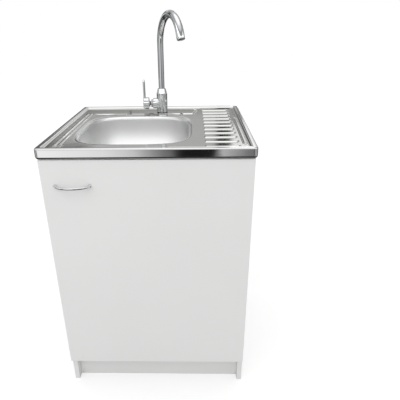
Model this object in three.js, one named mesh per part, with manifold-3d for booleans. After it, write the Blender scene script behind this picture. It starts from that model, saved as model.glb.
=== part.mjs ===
// Kitchen sink unit: a one-door base cabinet of laminated board with a lay-on stainless sink top,
// its mixer tap and its waste kit. Millimetres, +Z up, +X to the right, front towards -Y.
// Inside the group, y = 0 is the front edge of the sink top; the group is then centred on its box.

import * as THREE from 'three';
import { mergeVertices } from 'three/addons/utils/BufferGeometryUtils.js';
import Module from 'manifold-3d';

const wasm = await Module();
wasm.setup();

// ---------------------------------------------------------------------------------------------
// Driving dimensions
// ---------------------------------------------------------------------------------------------

const touch = 0.3; // clearance wherever two pieces meet

// Sink top, pressed from one sheet
const unitWidth = 600;
const unitDepth = 600;
const worktopHeight = 850;
const sheet = 1;
const bandHeight = 30;
const bandCorner = 12; // corner radius in plan
const bandEdge = 4; // rounding from the rim into the band
const bandFoot = 2; // rounding from the band into the turned-in flange
const flangeWidth = 15;
const rimWidth = 14;
const rimSlope = 6;
const fieldDrop = 5; // the field lies this far below the rim

// Bowl
const bowlWidth = 350;
const bowlLength = 384;
const bowlLeftMargin = 72;
const bowlFrontMargin = 46;
const bowlCorner = 100;
const bowlDepth = 160;
const lipRadius = 8;
const lipCollar = 3;
const bowlDraft = THREE.MathUtils.degToRad(3);
const footRadius = 45;
const floorFall = 4;
const recessRadius = 44;
const recessDepth = 4;
const drainHoleRadius = 27;

// Drainer ribs, beads and tap platform
const ribCount = 11;
const ribPitch = 49.4;
const ribFrontMargin = 35;
const ribGap = 38; // from the bowl to the ribs
const ribLength = 98;
const ribWidth = 24;
const ribHeight = 4;
const beadWidth = 8;
const beadHeight = 2.2;
const leftBeadMargins = [43, 56];
const leftBeadFront = 30;
const leftBeadLength = 456;
const rightBeadMargin = 28;
const rightBeadFront = 56;
const rightBeadLength = 330;
const platformWidth = 274;
const platformDepth = 123; // from the rear rim forwards
const platformSlant = 22; // how much the platform narrows to the front, each side
const platformRise = 4;
const platformSlope = 5;
const tapHoleRadius = 15;
const tapOffset = 15; // tap axis to the right of the middle
const tapBackset = 115; // tap axis from the rear edge

// Cabinet
const boardThickness = 16;
const cabinetMargin = 4; // cabinet side behind the sink's side
const cabinetRearMargin = 34; // cabinet back in front of the sink's rear edge
const doorSetback = 7; // door front behind the sink's front
const doorGap = 3; // door back to the cabinet front
const doorReveal = 1; // door narrower than the cabinet, each side
const doorTopGap = 3;
const plinthHeight = 100;
const plinthSetback = 50;
const doorDrop = 1; // door bottom below the bottom panel's underside
const railHeight = 100;
const backThickness = 3;
const backInset = 12;
const grooveDepth = 8;
const cutoutWidth = 300;
const cutoutHeight = 220;

// Door handle
const handleCentres = 96;
const handleFromEdge = 87; // middle of the handle from the door's left edge
const handleBelowTop = 74;
const handleReach = 26;
const handleRadius = 3.8;
const handleFootRadius = 5.5;
const handleFootHeight = 3;
const screwRadius = 2;
const screwHeadRadius = 4;
const screwHeadHeight = 2;
const screwGrip = 6; // length of the screw inside the handle foot

// Hinges: single-axis cup hinges with a cranked arm
const hingeFromEnd = 115;
const cupRadius = 17.5;
const cupDepth = 11.5;
const cupWall = 1.2;
const cupEdge = 3; // cup to the door edge
const cupRim = 1.2; // rim wider than the cup, each side
const cupRimThickness = 1;
const pocketReach = 12.5; // pocket from the cup's middle towards the arm
const pocketHeight = 18;
const knuckleWidth = 8;
const knuckleRadius = 2.1;
const hingePinRadius = 1;
const pinBack = 8; // hinge axis in front of the door's back face
const pinFromEdge = 7.1; // hinge axis from the door's edge
const armThickness = 2;
const armStem = 23.4; // from the axis to the arm's elbow
const earSpan = 56;
const earWidth = 12;
const earThickness = 1.5;
const plateThickness = 4;
const plateBack = 26; // plate's front behind the cabinet front
const plateLength = 40;
const plateSpan = 48;
const armBodyThickness = 6;
const armBodyWidth = 16;

// Sink clips
const clipWidth = 20;
const clipThickness = 1.5;
const clipLeg = 30;
const clipHook = 11;
const clipInsets = [90, 430];

// Waste
const strainerRadius = 37.5;
const cupMouthRadius = 24.2;
const strainerDepth = 9;
const strainerSheet = 1.4;
const strainerBar = 4;
const drainScrewRadius = 3;
const gasketThickness = 3;
const drainBodyRadius = 31.5;
const drainBodyHeight = 73;
const drainWall = 2.5;
const bridgeDrop = 30;
const bridgeHeight = 8;
const sideTubeRadius = 14;
const sideTubeReach = 52;
const sideTubeDrop = 20;
const pipeRadius = 20;
const pipeWall = 2;
const dropPipeLength = 142;
const socketDepth = 15;
const spigotDrop = 34;
const spigotLength = 58;
const spigotRadius = 11;
const spigotTilt = THREE.MathUtils.degToRad(21);
const capRingRadius = 9;
const capRingWire = 2;
const capDrop = 54;
const wingNutHeight = 24;
const wingNutRadius = 28;
const wingReach = 36;
const slipNutHeight = 22;
const nutOverlap = 8; // a union nut above its socket
const nutLip = 4;
const socketWall = 2.2;
const trapCentres = 78;
const trapLeg = 38;
const trapShortLeg = 12;
const trapTurn = THREE.MathUtils.degToRad(52); // trap plane turned from +X towards the rear
const elbowRadius = 31;
const outletEndMargin = 6;

// Plug
const plugRadius = 27.5;
const plugRimHeight = 4.5;
const plugSkirt = 5.5;
const plugStemHeight = 14;
const ringRadius = 9;
const ringWire = 0.9;

// Overflow
const overflowDrop = 45; // rose centre below the field
const roseWidth = 62;
const roseHeight = 40;
const roseDepth = 4;
const overflowHoleWidth = 46;
const overflowHoleHeight = 24;
const gasketMargin = 2; // overflow gasket past the rose and the housing
const housingDepth = 24;
const housingWall = 2.2;
const overflowPipeRadius = 13.5;
const overflowPipeWall = 1.6;
const overflowBend = 72;
const overflowGrip = 20;
const overflowNutRadius = 21.5;
const overflowNutLength = 34;

// Tap
const tapBodyRadius = 19;
const tapBodyHeight = 82;
const tapShoulder = 17;
const spoutRadius = 10.4;
const spoutEndRadius = 13.2;
const spoutWall = 1.6;
const spoutStraight = 148;
const spoutArcRadius = 90;
const spoutArc = THREE.MathUtils.degToRad(158);
const spoutTail = 14;
const spoutTurn = THREE.MathUtils.degToRad(25); // spout turned from straight ahead to the right
const aeratorLength = 13;
const housingHeight = 30; // lever axis above the tap's foot
const housingRadius = 18.5;
const housingReach = 32; // housing end from the tap axis
const cartridgeRadius = 14.5;
const cartridgeLength = 15;
const ballRadius = 12;
const leverRadius = 21;
const leverWall = 2.5;
const leverDepth = 19.5;
const leverSkirt = 4.2; // cap past the ball's middle, towards the body
const bladeWidth = 16;
const bladeLength = 82; // from the lever axis to the blade's tip
const bladeThickness = 7;
const leverPinRadius = 2;
const tapGasketThickness = 1.5;
const shankRadius = 13.5;
const shankWall = 3;
const shankLength = 46;
const tapNutRadius = 20;
const tapNutHeight = 9;
const washerRadius = 21;
const washerThickness = 3;

// ---------------------------------------------------------------------------------------------
// Levels and places that follow from them
// ---------------------------------------------------------------------------------------------

const fieldTop = worktopHeight - fieldDrop;
const bandBottom = worktopHeight - bandHeight;
const cabinetTop = bandBottom - touch;
const cabinetFront = doorSetback + boardThickness + doorGap;
const cabinetBack = unitDepth - cabinetRearMargin;
const cabinetHalf = unitWidth / 2 - cabinetMargin;
const innerHalf = cabinetHalf - boardThickness;
const bottomTop = plinthHeight + boardThickness;
const doorBack = doorSetback + boardThickness;
const doorHalf = cabinetHalf - doorReveal;
const doorBottom = plinthHeight - doorDrop;
const doorTop = bandBottom - doorTopGap;
const bowlX = -unitWidth / 2 + bowlLeftMargin + bowlWidth / 2;
const bowlY = bowlFrontMargin + bowlLength / 2;
const bowlFloor = fieldTop - bowlDepth;
const recessFloor = bowlFloor - floorFall - recessDepth;
const platformTop = fieldTop + platformRise;
const tapY = unitDepth - tapBackset;
const tapFoot = platformTop + touch + tapGasketThickness + touch;
const bodyTop = recessFloor - sheet - touch - gasketThickness - touch;
const bodyBottom = bodyTop - drainBodyHeight;
const dropPipeTop = bodyBottom + socketDepth;
const dropPipeBottom = dropPipeTop - dropPipeLength;
const trapTop = dropPipeBottom + socketDepth;
const trapCentre = trapTop - trapLeg;
const trapFarX = bowlX + trapCentres * Math.cos(trapTurn);
const trapFarY = bowlY + trapCentres * Math.sin(trapTurn);
const farTop = trapCentre + trapShortLeg;
const outletZ = farTop + nutOverlap + 1 + elbowRadius;
const hingeAxisX = doorHalf - pinFromEdge;
const hingeAxisY = doorBack - pinBack;
const hingeHeights = { upper: doorTop - hingeFromEnd, lower: doorBottom + hingeFromEnd };
const cupX = doorHalf - cupEdge - cupRadius;

// ---------------------------------------------------------------------------------------------
// Materials
// ---------------------------------------------------------------------------------------------

const finish = (color, roughness, metalness) => new THREE.MeshStandardMaterial({ color, roughness, metalness });
const finishes = {
  laminate: () => finish(0xf2f2f0, 0.45, 0),
  hardboard: () => finish(0xe6e2d8, 0.7, 0),
  steel: () => finish(0xb9bbb9, 0.25, 1),
  chrome: () => finish(0xd5d7d9, 0.08, 1),
  zinc: () => finish(0xa9abab, 0.4, 1),
  whitePlastic: () => finish(0xf0f0ee, 0.4, 0),
  rubber: () => finish(0x141414, 0.7, 0),
};

// ---------------------------------------------------------------------------------------------
// Solids
// ---------------------------------------------------------------------------------------------

/** A closed geometry as a solid that can be cut and joined, with its faces turned outwards. */
function solidOf(geometry) {
  const bare = geometry.clone();
  bare.deleteAttribute('normal');
  bare.deleteAttribute('uv');
  const merged = mergeVertices(bare, 1e-4);
  const corners = [];
  for (let i = 0; i < merged.index.count; i += 3) {
    const [a, b, c] = [0, 1, 2].map((k) => merged.index.getX(i + k));
    if (a !== b && b !== c && c !== a) corners.push(a, b, c);
  }
  const vertProperties = new Float32Array(merged.attributes.position.array);
  const build = (order) => new wasm.Manifold(new wasm.Mesh({ numProp: 3, vertProperties, triVerts: order }));
  const made = build(new Uint32Array(corners));
  if (made.volume() > 0) return made;
  for (let i = 0; i < corners.length; i += 3) [corners[i], corners[i + 1]] = [corners[i + 1], corners[i]];
  return build(new Uint32Array(corners));
}

/** A solid as a geometry for a mesh. */
function geometryOf(solid) {
  const mesh = solid.getMesh();
  const geometry = new THREE.BufferGeometry();
  geometry.setAttribute('position', new THREE.BufferAttribute(mesh.vertProperties, 3));
  geometry.setIndex(new THREE.BufferAttribute(mesh.triVerts, 1));
  geometry.computeVertexNormals();
  return geometry;
}

/** A box between two values on each axis. */
function box([x0, x1], [y0, y1], [z0, z1]) {
  const geometry = new THREE.BoxGeometry(x1 - x0, y1 - y0, z1 - z0);
  return solidOf(geometry.translate((x0 + x1) / 2, (y0 + y1) / 2, (z0 + z1) / 2));
}

/** A cylinder between two points. */
function rod(radius, from, to, sides = 20) {
  const start = new THREE.Vector3(...from);
  const along = new THREE.Vector3(...to).sub(start);
  const geometry = new THREE.CylinderGeometry(radius, radius, along.length(), sides);
  geometry.translate(0, along.length() / 2, 0);
  const turn = new THREE.Quaternion().setFromUnitVectors(new THREE.Vector3(0, 1, 0), along.normalize());
  geometry.applyQuaternion(turn).translate(start.x, start.y, start.z);
  return solidOf(geometry);
}

/** A body of revolution about a vertical axis, from [radius, height] corners in a closed loop. */
function turned(profile, sides = 24) {
  const loop = [...profile, profile[0]].map(([radius, height]) => new THREE.Vector2(radius, height));
  return solidOf(new THREE.LatheGeometry(loop, sides).rotateX(Math.PI / 2));
}

/** An outline of [x, y] corners, with holes, pushed up from one level to another. */
function prism(outline, z0, z1, holes = []) {
  const shape = new THREE.Shape(outline.map(([x, y]) => new THREE.Vector2(x, y)));
  for (const hole of holes) shape.holes.push(new THREE.Path(hole.map(([x, y]) => new THREE.Vector2(x, y))));
  const geometry = new THREE.ExtrudeGeometry(shape, { depth: z1 - z0, bevelEnabled: false });
  return solidOf(geometry.translate(0, 0, z0));
}

/** Rings of points with the same count joined one after another, capped at both ends or closed on the first. */
function loft(rings, closed = false) {
  const count = rings[0].length;
  const points = rings.flat();
  const corners = [];
  const last = closed ? rings.length : rings.length - 1;
  for (let r = 0; r < last; r += 1) {
    const here = r * count;
    const next = ((r + 1) % rings.length) * count;
    for (let i = 0; i < count; i += 1) {
      const j = (i + 1) % count;
      corners.push(here + i, here + j, next + j, here + i, next + j, next + i);
    }
  }
  if (!closed) {
    const end = (rings.length - 1) * count;
    for (let i = 1; i < count - 1; i += 1) {
      corners.push(0, i + 1, i);
      corners.push(end, end + i, end + i + 1);
    }
  }
  const geometry = new THREE.BufferGeometry().setFromPoints(points);
  geometry.setIndex(corners);
  return solidOf(geometry);
}

/** A polyline of [a, b] points moved sideways by a distance, with mitred corners. */
function offsetPath(path, distance) {
  const normal = (p, q) => new THREE.Vector2(p[1] - q[1], q[0] - p[0]).normalize();
  return path.map((point, i) => {
    const before = i > 0 ? normal(path[i - 1], point) : normal(point, path[1]);
    const after = i < path.length - 1 ? normal(point, path[i + 1]) : before;
    const mean = before.clone().add(after).normalize();
    const reach = distance / mean.dot(after);
    return [point[0] + mean.x * reach, point[1] + mean.y * reach];
  });
}

/** A bent sheet: a path of [inset, height] points and its offset, each point run round a ring. */
function bentSheet(path, thickness, ringAt) {
  const back = offsetPath(path, thickness).reverse();
  return loft([...path, ...back].map(([inset, z]) => ringAt(inset, z)), true);
}

/** Points of an arc in a plane, as [a, b] pairs. */
function arc(centreA, centreB, radius, fromDegrees, toDegrees, steps) {
  return Array.from({ length: steps + 1 }, (_, i) => {
    const angle = THREE.MathUtils.degToRad(fromDegrees + ((toDegrees - fromDegrees) * i) / steps);
    return [centreA + radius * Math.cos(angle), centreB + radius * Math.sin(angle)];
  });
}

/** A rounded rectangle as [x, y] points, each corner an arc. */
function roundedOutline(centreX, centreY, halfX, halfY, radius, cornerSteps = 4) {
  const [x, y] = [halfX - radius, halfY - radius];
  return [
    ...arc(centreX + x, centreY + y, radius, 0, 90, cornerSteps),
    ...arc(centreX - x, centreY + y, radius, 90, 180, cornerSteps),
    ...arc(centreX - x, centreY - y, radius, 180, 270, cornerSteps),
    ...arc(centreX + x, centreY - y, radius, 270, 360, cornerSteps),
  ];
}

/** The same outline as a ring of points in space. */
const ring = (outline, z) => outline.map(([x, y]) => new THREE.Vector3(x, y, z));

/** A circular arc in space from a start point, setting off in a given direction. */
class Arc extends THREE.Curve {
  constructor(centre, from, heading, angle) {
    super();
    this.centre = centre;
    this.spoke = from.clone().sub(centre);
    this.heading = heading.clone().multiplyScalar(this.spoke.length());
    this.angle = angle;
  }

  getPoint(t, target = new THREE.Vector3()) {
    const turn = this.angle * t;
    target.copy(this.centre).addScaledVector(this.spoke, Math.cos(turn));
    return target.addScaledVector(this.heading, Math.sin(turn));
  }
}

/** Places along a line of points, each inner corner an arc of one radius: where, and which way it heads. */
function route(points, bendRadius, bendSteps = 6) {
  const corners = points.map((point) => new THREE.Vector3(...point));
  const places = [];
  for (let i = 1; i < corners.length - 1; i += 1) {
    const inward = corners[i].clone().sub(corners[i - 1]).normalize();
    const onward = corners[i + 1].clone().sub(corners[i]).normalize();
    const turn = inward.angleTo(onward);
    const from = corners[i].clone().addScaledVector(inward, -bendRadius * Math.tan(turn / 2));
    const middle = onward.clone().sub(inward).normalize();
    const centre = corners[i].clone().addScaledVector(middle, bendRadius / Math.cos(turn / 2));
    const bend = new Arc(centre, from, inward, turn);
    if (i === 1) places.push({ at: corners[0], heading: inward });
    for (let step = 0; step <= bendSteps; step += 1) {
      places.push({ at: bend.getPoint(step / bendSteps), heading: bend.getTangent(step / bendSteps) });
    }
    if (i === corners.length - 2) places.push({ at: corners[i + 1], heading: onward });
  }
  return places;
}

/** Rings of one radius, or one radius each, square to a route that stays in a plane. */
function ringsAlong(places, radius, side, sides = 20) {
  return places.map(({ at, heading }, place) => {
    const across = heading.clone().cross(side);
    const size = Array.isArray(radius) ? radius[place] : radius;
    return Array.from({ length: sides }, (_, i) => {
      const angle = (2 * Math.PI * i) / sides;
      const point = at.clone().addScaledVector(side, size * Math.cos(angle));
      return point.addScaledVector(across, size * Math.sin(angle));
    });
  });
}

/** A tube along a route in the plane square to `side`. */
function tube(places, radius, bore, side, sides = 20) {
  const inner = ringsAlong(places, bore, side, sides).reverse();
  return loft([...ringsAlong(places, radius, side, sides), ...inner], true);
}

/** Everything is gathered here. */
const unit = new THREE.Group();
const handleFront = doorSetback - touch - handleReach - handleRadius;
unit.position.set(0, -(unitDepth + handleFront) / 2, 0);

/** Adds one named piece, cut or joined already, to a group. */
function addPiece(name, solid, material, parent = unit) {
  const mesh = new THREE.Mesh(geometryOf(solid), material);
  mesh.name = name;
  parent.add(mesh);
}

// ---------------------------------------------------------------------------------------------
// Cabinet
// ---------------------------------------------------------------------------------------------

/** One side, from the floor to the sink, with the groove that holds the back. */
function sidePanel(side) {
  const grooveFront = cabinetBack - backInset - backThickness - touch;
  const inner = side * innerHalf;
  const outer = side * cabinetHalf;
  const grooveFloor = inner + side * grooveDepth;
  const grooveRear = cabinetBack - backInset + touch;
  const plan = [
    [outer, cabinetFront],
    [outer, cabinetBack],
    [inner, cabinetBack],
    [inner, grooveRear],
    [grooveFloor, grooveRear],
    [grooveFloor, grooveFront],
    [inner, grooveFront],
    [inner, cabinetFront],
  ];
  return prism(plan, 0, cabinetTop);
}

function cabinet() {
  addPiece('side_panel_left', sidePanel(-1), finishes.laminate());
  addPiece('side_panel_right', sidePanel(1), finishes.laminate());
  const between = [-innerHalf + touch, innerHalf - touch];
  const backFront = cabinetBack - backInset - backThickness;
  const bottom = box(between, [cabinetFront, backFront - touch], [plinthHeight, bottomTop]);
  addPiece('bottom_panel', bottom, finishes.laminate());
  const plinth = box(between, [plinthSetback, plinthSetback + boardThickness], [0, plinthHeight - touch]);
  addPiece('plinth_board', plinth, finishes.laminate());
  const railLevels = [cabinetTop - railHeight, cabinetTop];
  const frontRail = box(between, [cabinetFront, cabinetFront + boardThickness], railLevels);
  addPiece('front_rail', frontRail, finishes.laminate());
  const rearRail = box(between, [backFront - touch - boardThickness, backFront - touch], railLevels);
  addPiece('rear_rail', rearRail, finishes.laminate());

  const backHalf = innerHalf + grooveDepth - touch;
  const back = box([-backHalf, backHalf], [backFront, backFront + backThickness], [plinthHeight, cabinetTop]);
  const cutout = box(
    [trapFarX - cutoutWidth / 2, trapFarX + cutoutWidth / 2],
    [backFront - backThickness, backFront + 2 * backThickness],
    [outletZ - cutoutHeight / 2, outletZ + cutoutHeight / 2],
  );
  addPiece('back_panel', back.subtract(cutout), finishes.hardboard());
}

// ---------------------------------------------------------------------------------------------
// Door, handle and hinges
// ---------------------------------------------------------------------------------------------

const handleX = -doorHalf + handleFromEdge;
const handleZ = doorTop - handleBelowTop;

function door() {
  let panel = box([-doorHalf, doorHalf], [doorSetback, doorBack], [doorBottom, doorTop]);
  for (const side of [-1, 1]) {
    const x = handleX + (side * handleCentres) / 2;
    const hole = rod(screwRadius + touch, [x, doorSetback - 1, handleZ], [x, doorBack + 1, handleZ], 12);
    panel = panel.subtract(hole);
  }
  for (const z of Object.values(hingeHeights)) {
    const boreFloor = doorBack - cupDepth - touch;
    panel = panel.subtract(rod(cupRadius + touch, [cupX, boreFloor, z], [cupX, doorBack + 1, z], 24));
  }
  addPiece('door_panel', panel, finishes.laminate());
}

/** Half an ellipse in plan, from one foot of the handle out and back to the other. */
class Bow extends THREE.Curve {
  getPoint(t, target = new THREE.Vector3()) {
    const angle = Math.PI * t;
    const y = doorSetback - touch - handleReach * Math.sin(angle);
    return target.set(handleX - (handleCentres / 2) * Math.cos(angle), y, handleZ);
  }
}

/** A bow between two feet, standing out from the door, and its screws. */
function doorHandle() {
  const bow = new Bow();
  const half = handleCentres / 2;
  const face = doorSetback - touch;
  const trim = box([handleX - 2 * half, handleX + 2 * half], [face, face + 20], [handleZ - 20, handleZ + 20]);
  const places = [];
  for (let i = 0; i <= 14; i += 1) places.push({ at: bow.getPoint(i / 14), heading: bow.getTangent(i / 14) });
  const vertical = new THREE.Vector3(0, 0, 1);
  let handle = loft(ringsAlong(places, handleRadius, vertical, 10));
  for (const side of [-1, 1]) {
    const x = handleX + side * half;
    handle = handle.add(rod(handleFootRadius, [x, face - handleFootHeight, handleZ], [x, face, handleZ], 14));
  }
  handle = handle.subtract(trim);
  for (const side of [-1, 1]) {
    const x = handleX + side * half;
    handle = handle.subtract(
      rod(screwRadius + touch, [x, face - screwGrip - touch, handleZ], [x, face + 1, handleZ], 12),
    );
    const screw = rod(screwRadius, [x, face - screwGrip, handleZ], [x, doorBack + touch + 0.5, handleZ], 12);
    const headFront = doorBack + touch;
    const head = rod(screwHeadRadius, [x, headFront, handleZ], [x, headFront + screwHeadHeight, handleZ], 12);
    addPiece(side < 0 ? 'handle_screw_left' : 'handle_screw_right', screw.add(head), finishes.zinc());
  }
  addPiece('door_handle', handle, finishes.chrome());
}

/** The cup in the door, with its pocket, its screw ears and the cheeks that hold the pin. */
function hingeCup(z) {
  const rear = doorBack + touch;
  let cup = rod(cupRadius, [cupX, doorBack - cupDepth, z], [cupX, rear + 0.2, z], 24);
  const ear = [rear, rear + earThickness];
  cup = cup.add(box([cupX - earWidth / 2, cupX + earWidth / 2], ear, [z - earSpan / 2, z + earSpan / 2]));
  cup = cup.add(rod(cupRadius + cupRim, [cupX, rear, z], [cupX, rear + cupRimThickness, z], 24));
  const pocketFloor = doorBack - cupDepth + cupWall;
  const narrowFrom = hingeAxisX - 5;
  const open = [pocketFloor, rear + 5];
  cup = cup.subtract(box([cupX - pocketReach, narrowFrom], open, [z - pocketHeight / 2, z + pocketHeight / 2]));
  const throat = knuckleWidth / 2 + 0.5;
  const pocketEnd = hingeAxisX + knuckleRadius + 0.45;
  cup = cup.subtract(box([narrowFrom - 1, pocketEnd], open, [z - throat, z + throat]));
  const pinHalf = pocketHeight / 2;
  const hole = rod(hingePinRadius + 0.15, [hingeAxisX, hingeAxisY, z - pinHalf], [hingeAxisX, hingeAxisY, z + pinHalf], 16);
  return cup.subtract(hole);
}

/** The cranked arm: knuckle on the pin, stem inside the cup, bend out of it, body on the plate. */
function hingeArm(z) {
  const half = armThickness / 2;
  const elbowX = hingeAxisX - armStem;
  const backY = cabinetFront + plateBack - 6;
  const bodyX = innerHalf - touch - plateThickness - touch - armBodyThickness;
  const centreLine = [
    [hingeAxisX, hingeAxisY],
    [elbowX + 4, hingeAxisY],
    ...arc(elbowX + 4, hingeAxisY + 4, 4, 270, 180, 4).slice(1),
    [elbowX, cabinetFront + 4],
    [bodyX + half, backY],
    [bodyX + half, backY + 8],
  ];
  const outline = [...offsetPath(centreLine, half), ...offsetPath(centreLine, -half).reverse()];
  const width = [z - knuckleWidth / 2, z + knuckleWidth / 2];
  const knuckle = rod(knuckleRadius, [hingeAxisX, hingeAxisY, width[0]], [hingeAxisX, hingeAxisY, width[1]], 20);
  const body = box(
    [bodyX, bodyX + armBodyThickness],
    [backY + 2, cabinetFront + plateBack + plateLength],
    [z - armBodyWidth / 2, z + armBodyWidth / 2],
  );
  const bore = rod(hingePinRadius + 0.25, [hingeAxisX, hingeAxisY, width[0] - 1], [hingeAxisX, hingeAxisY, width[1] + 1], 16);
  return prism(outline, ...width).add(knuckle).add(body).subtract(bore);
}

/** The cross-shaped plate screwed to the side panel. */
function hingePlate(z) {
  const x = [innerHalf - touch - plateThickness, innerHalf - touch];
  const front = cabinetFront + plateBack;
  const runner = box(x, [front, front + plateLength], [z - armBodyWidth / 2, z + armBodyWidth / 2]);
  const wingFront = front + plateLength / 4;
  const wings = box(x, [wingFront, wingFront + 12], [z - plateSpan / 2, z + plateSpan / 2]);
  return runner.add(wings);
}

function hinges() {
  for (const [place, z] of Object.entries(hingeHeights)) {
    addPiece(`hinge_cup_${place}`, hingeCup(z), finishes.zinc());
    addPiece(`hinge_arm_${place}`, hingeArm(z), finishes.zinc());
    addPiece(`hinge_plate_${place}`, hingePlate(z), finishes.zinc());
    const half = pocketHeight / 2 - touch;
    const pin = rod(hingePinRadius, [hingeAxisX, hingeAxisY, z - half], [hingeAxisX, hingeAxisY, z + half], 16);
    addPiece(`hinge_pin_${place}`, pin, finishes.zinc());
  }
}

// ---------------------------------------------------------------------------------------------
// Sink top
// ---------------------------------------------------------------------------------------------

/** Ring of the deck's outline, drawn in from the edge. */
function deckRing(inset, z) {
  const radius = Math.max(bandCorner - inset, 3);
  const outline = roundedOutline(0, unitDepth / 2, unitWidth / 2 - inset, unitDepth / 2 - inset, radius);
  return ring(outline, z);
}

// Directions in which the bowl's rings are measured: closer together round its corners.
const quarterAngles = [0, 20, 30, 39, 48, 58, 69, 90];
const ringAngles = [0, 1, 2, 3].flatMap((quarter) => {
  const quarterFrom = quarter * 90;
  const turned = quarter % 2 ? quarterAngles.map((angle) => 90 - angle).reverse() : quarterAngles;
  return turned.slice(0, -1).map((angle) => THREE.MathUtils.degToRad(quarterFrom + angle));
});

/** Distance from the middle of a rounded rectangle to its edge in one direction. */
function reachAt(angle, halfX, halfY, radius) {
  const [c, s] = [Math.abs(Math.cos(angle)), Math.abs(Math.sin(angle))];
  if ((halfX / Math.max(c, 1e-9)) * s <= halfY - radius) return halfX / c;
  if ((halfY / Math.max(s, 1e-9)) * c <= halfX - radius) return halfY / s;
  const [cornerX, cornerY] = [halfX - radius, halfY - radius];
  const along = c * cornerX + s * cornerY;
  return along + Math.sqrt(along ** 2 - (cornerX ** 2 + cornerY ** 2 - radius ** 2));
}

/** Ring of the bowl at an inset from its mouth: a rounded rectangle that becomes a circle at the recess. */
function bowlRing(inset, z) {
  const footInset = bowlWidth / 2 - recessRadius;
  const wallInset = lipRadius + bowlDepth * Math.tan(bowlDraft) + footRadius;
  const halfX = bowlWidth / 2 - inset;
  let halfY = bowlLength / 2 - inset;
  let radius = Math.max(bowlCorner - inset, 20);
  if (inset > wallInset) {
    const share = Math.min((inset - wallInset) / (footInset - wallInset), 1);
    halfY = THREE.MathUtils.lerp(bowlLength / 2 - wallInset, recessRadius, share);
    radius = THREE.MathUtils.lerp(Math.max(bowlCorner - wallInset, 20), recessRadius, share);
    if (share === 1) halfY = halfX;
    if (share === 1) radius = halfX;
  }
  return ringAngles.map((angle) => {
    const reach = reachAt(angle, halfX, halfY, Math.min(radius, halfX, halfY));
    return new THREE.Vector3(bowlX + reach * Math.cos(angle), bowlY + reach * Math.sin(angle), z);
  });
}

/** A pressed bead along X, its top an arched section that runs out at both ends. */
function bead(length, width, height, below) {
  const shares = [1, 0.6, 0, -0.6, -1];
  const station = (x, scale) => {
    const halfWidth = (width / 2) * scale;
    const top = shares.map((share) => new THREE.Vector3(x, share * halfWidth, height * scale * (1 - share ** 2)));
    return [...top, new THREE.Vector3(x, -halfWidth, -below), new THREE.Vector3(x, halfWidth, -below)];
  };
  const run = width / 2;
  const ends = [[0, 0.25], [0.3, 0.75], [1, 1]].map(([share, scale]) => [share * run, scale]);
  const stations = [...ends, ...ends.map(([x, scale]) => [length - x, scale]).reverse()];
  return loft(stations.map(([x, scale]) => station(x, scale)));
}

/** The places of all beads: the drainer's ribs, the two beads on the left and the one on the right. */
function beadPlaces() {
  const ribX = bowlX + bowlWidth / 2 + ribGap;
  const ribs = Array.from({ length: ribCount }, (_, i) => ({
    at: [ribX, ribFrontMargin + i * ribPitch],
    size: [ribLength, ribWidth, ribHeight],
    turn: 0,
  }));
  const left = leftBeadMargins.map((margin) => ({
    at: [-unitWidth / 2 + margin, leftBeadFront],
    size: [leftBeadLength, beadWidth, beadHeight],
    turn: Math.PI / 2,
  }));
  const right = {
    at: [unitWidth / 2 - rightBeadMargin, rightBeadFront],
    size: [rightBeadLength, beadWidth, beadHeight],
    turn: Math.PI / 2,
  };
  return [...ribs, ...left, right];
}

/** One bead set on the field; drawn in by the sheet it is the hollow under the bead. */
function placedBead({ at, size, turn }, thinner) {
  const [length, width, height] = size;
  const below = thinner > 0 ? 1 : sheet / 2;
  let solid = bead(length - 2 * thinner, width - 2 * thinner, height, below);
  solid = solid.translate(thinner, 0, 0).rotate(0, 0, THREE.MathUtils.radToDeg(turn));
  return solid.translate(at[0], at[1], fieldTop - thinner);
}

/** The raised platform for the tap; drawn in by the sheet it is the hollow below it. */
function tapPlatform(thinner) {
  const rear = unitDepth - rimWidth - (thinner > 0 ? rimSlope : 1) - thinner;
  const front = unitDepth - rimWidth - rimSlope - platformDepth + thinner;
  const rearHalf = platformWidth / 2 - thinner;
  const frontHalf = rearHalf - platformSlant;
  const outline = (slope) => [
    [tapOffset - frontHalf + slope, front + slope],
    [tapOffset + frontHalf - slope, front + slope],
    [tapOffset + rearHalf - slope, rear],
    [tapOffset - rearHalf + slope, rear],
  ];
  const base = fieldTop - sheet / 2 - thinner;
  return loft([
    ring(outline(0), thinner > 0 ? base - sheet : base),
    ring(outline(0), fieldTop - thinner),
    ring(outline(platformSlope), fieldTop + platformRise - thinner),
  ]);
}

/** The pressed deck: folded band, rim, field, ribs, beads, platform and the lip round the bowl. */
function sinkDeck() {
  const band = [
    [flangeWidth, bandBottom],
    [bandFoot, bandBottom],
    [0, bandBottom + bandFoot],
    ...arc(bandEdge, worktopHeight - bandEdge, bandEdge, 180, 90, 2),
    [rimWidth, worktopHeight],
    [rimWidth + rimSlope, fieldTop],
    [rimWidth + rimSlope + 4, fieldTop],
  ];
  const lip = [
    [-2, fieldTop],
    ...arc(0, fieldTop - lipRadius, lipRadius, 90, 0, 3),
    [lipRadius, fieldTop - lipRadius - lipCollar],
  ];
  const mouth = bowlRing(0, 0).map((point) => [point.x, point.y]);
  const field = deckRing(rimWidth + rimSlope + 1, 0).map((point) => [point.x, point.y]);
  let deck = prism(field, fieldTop - sheet, fieldTop, [[...mouth].reverse()]);
  deck = deck.add(bentSheet(band, -sheet, deckRing)).add(bentSheet(lip, -sheet, bowlRing));
  deck = deck.add(tapPlatform(0));
  for (const place of beadPlaces()) deck = deck.add(placedBead(place, 0));
  deck = deck.subtract(tapPlatform(sheet));
  for (const place of beadPlaces()) deck = deck.subtract(placedBead(place, sheet));
  const tapHole = rod(tapHoleRadius, [tapOffset, tapY, fieldTop - 5], [tapOffset, tapY, worktopHeight + 5], 24);
  addPiece('sink_deck', deck.subtract(tapHole), finishes.steel());
}

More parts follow.
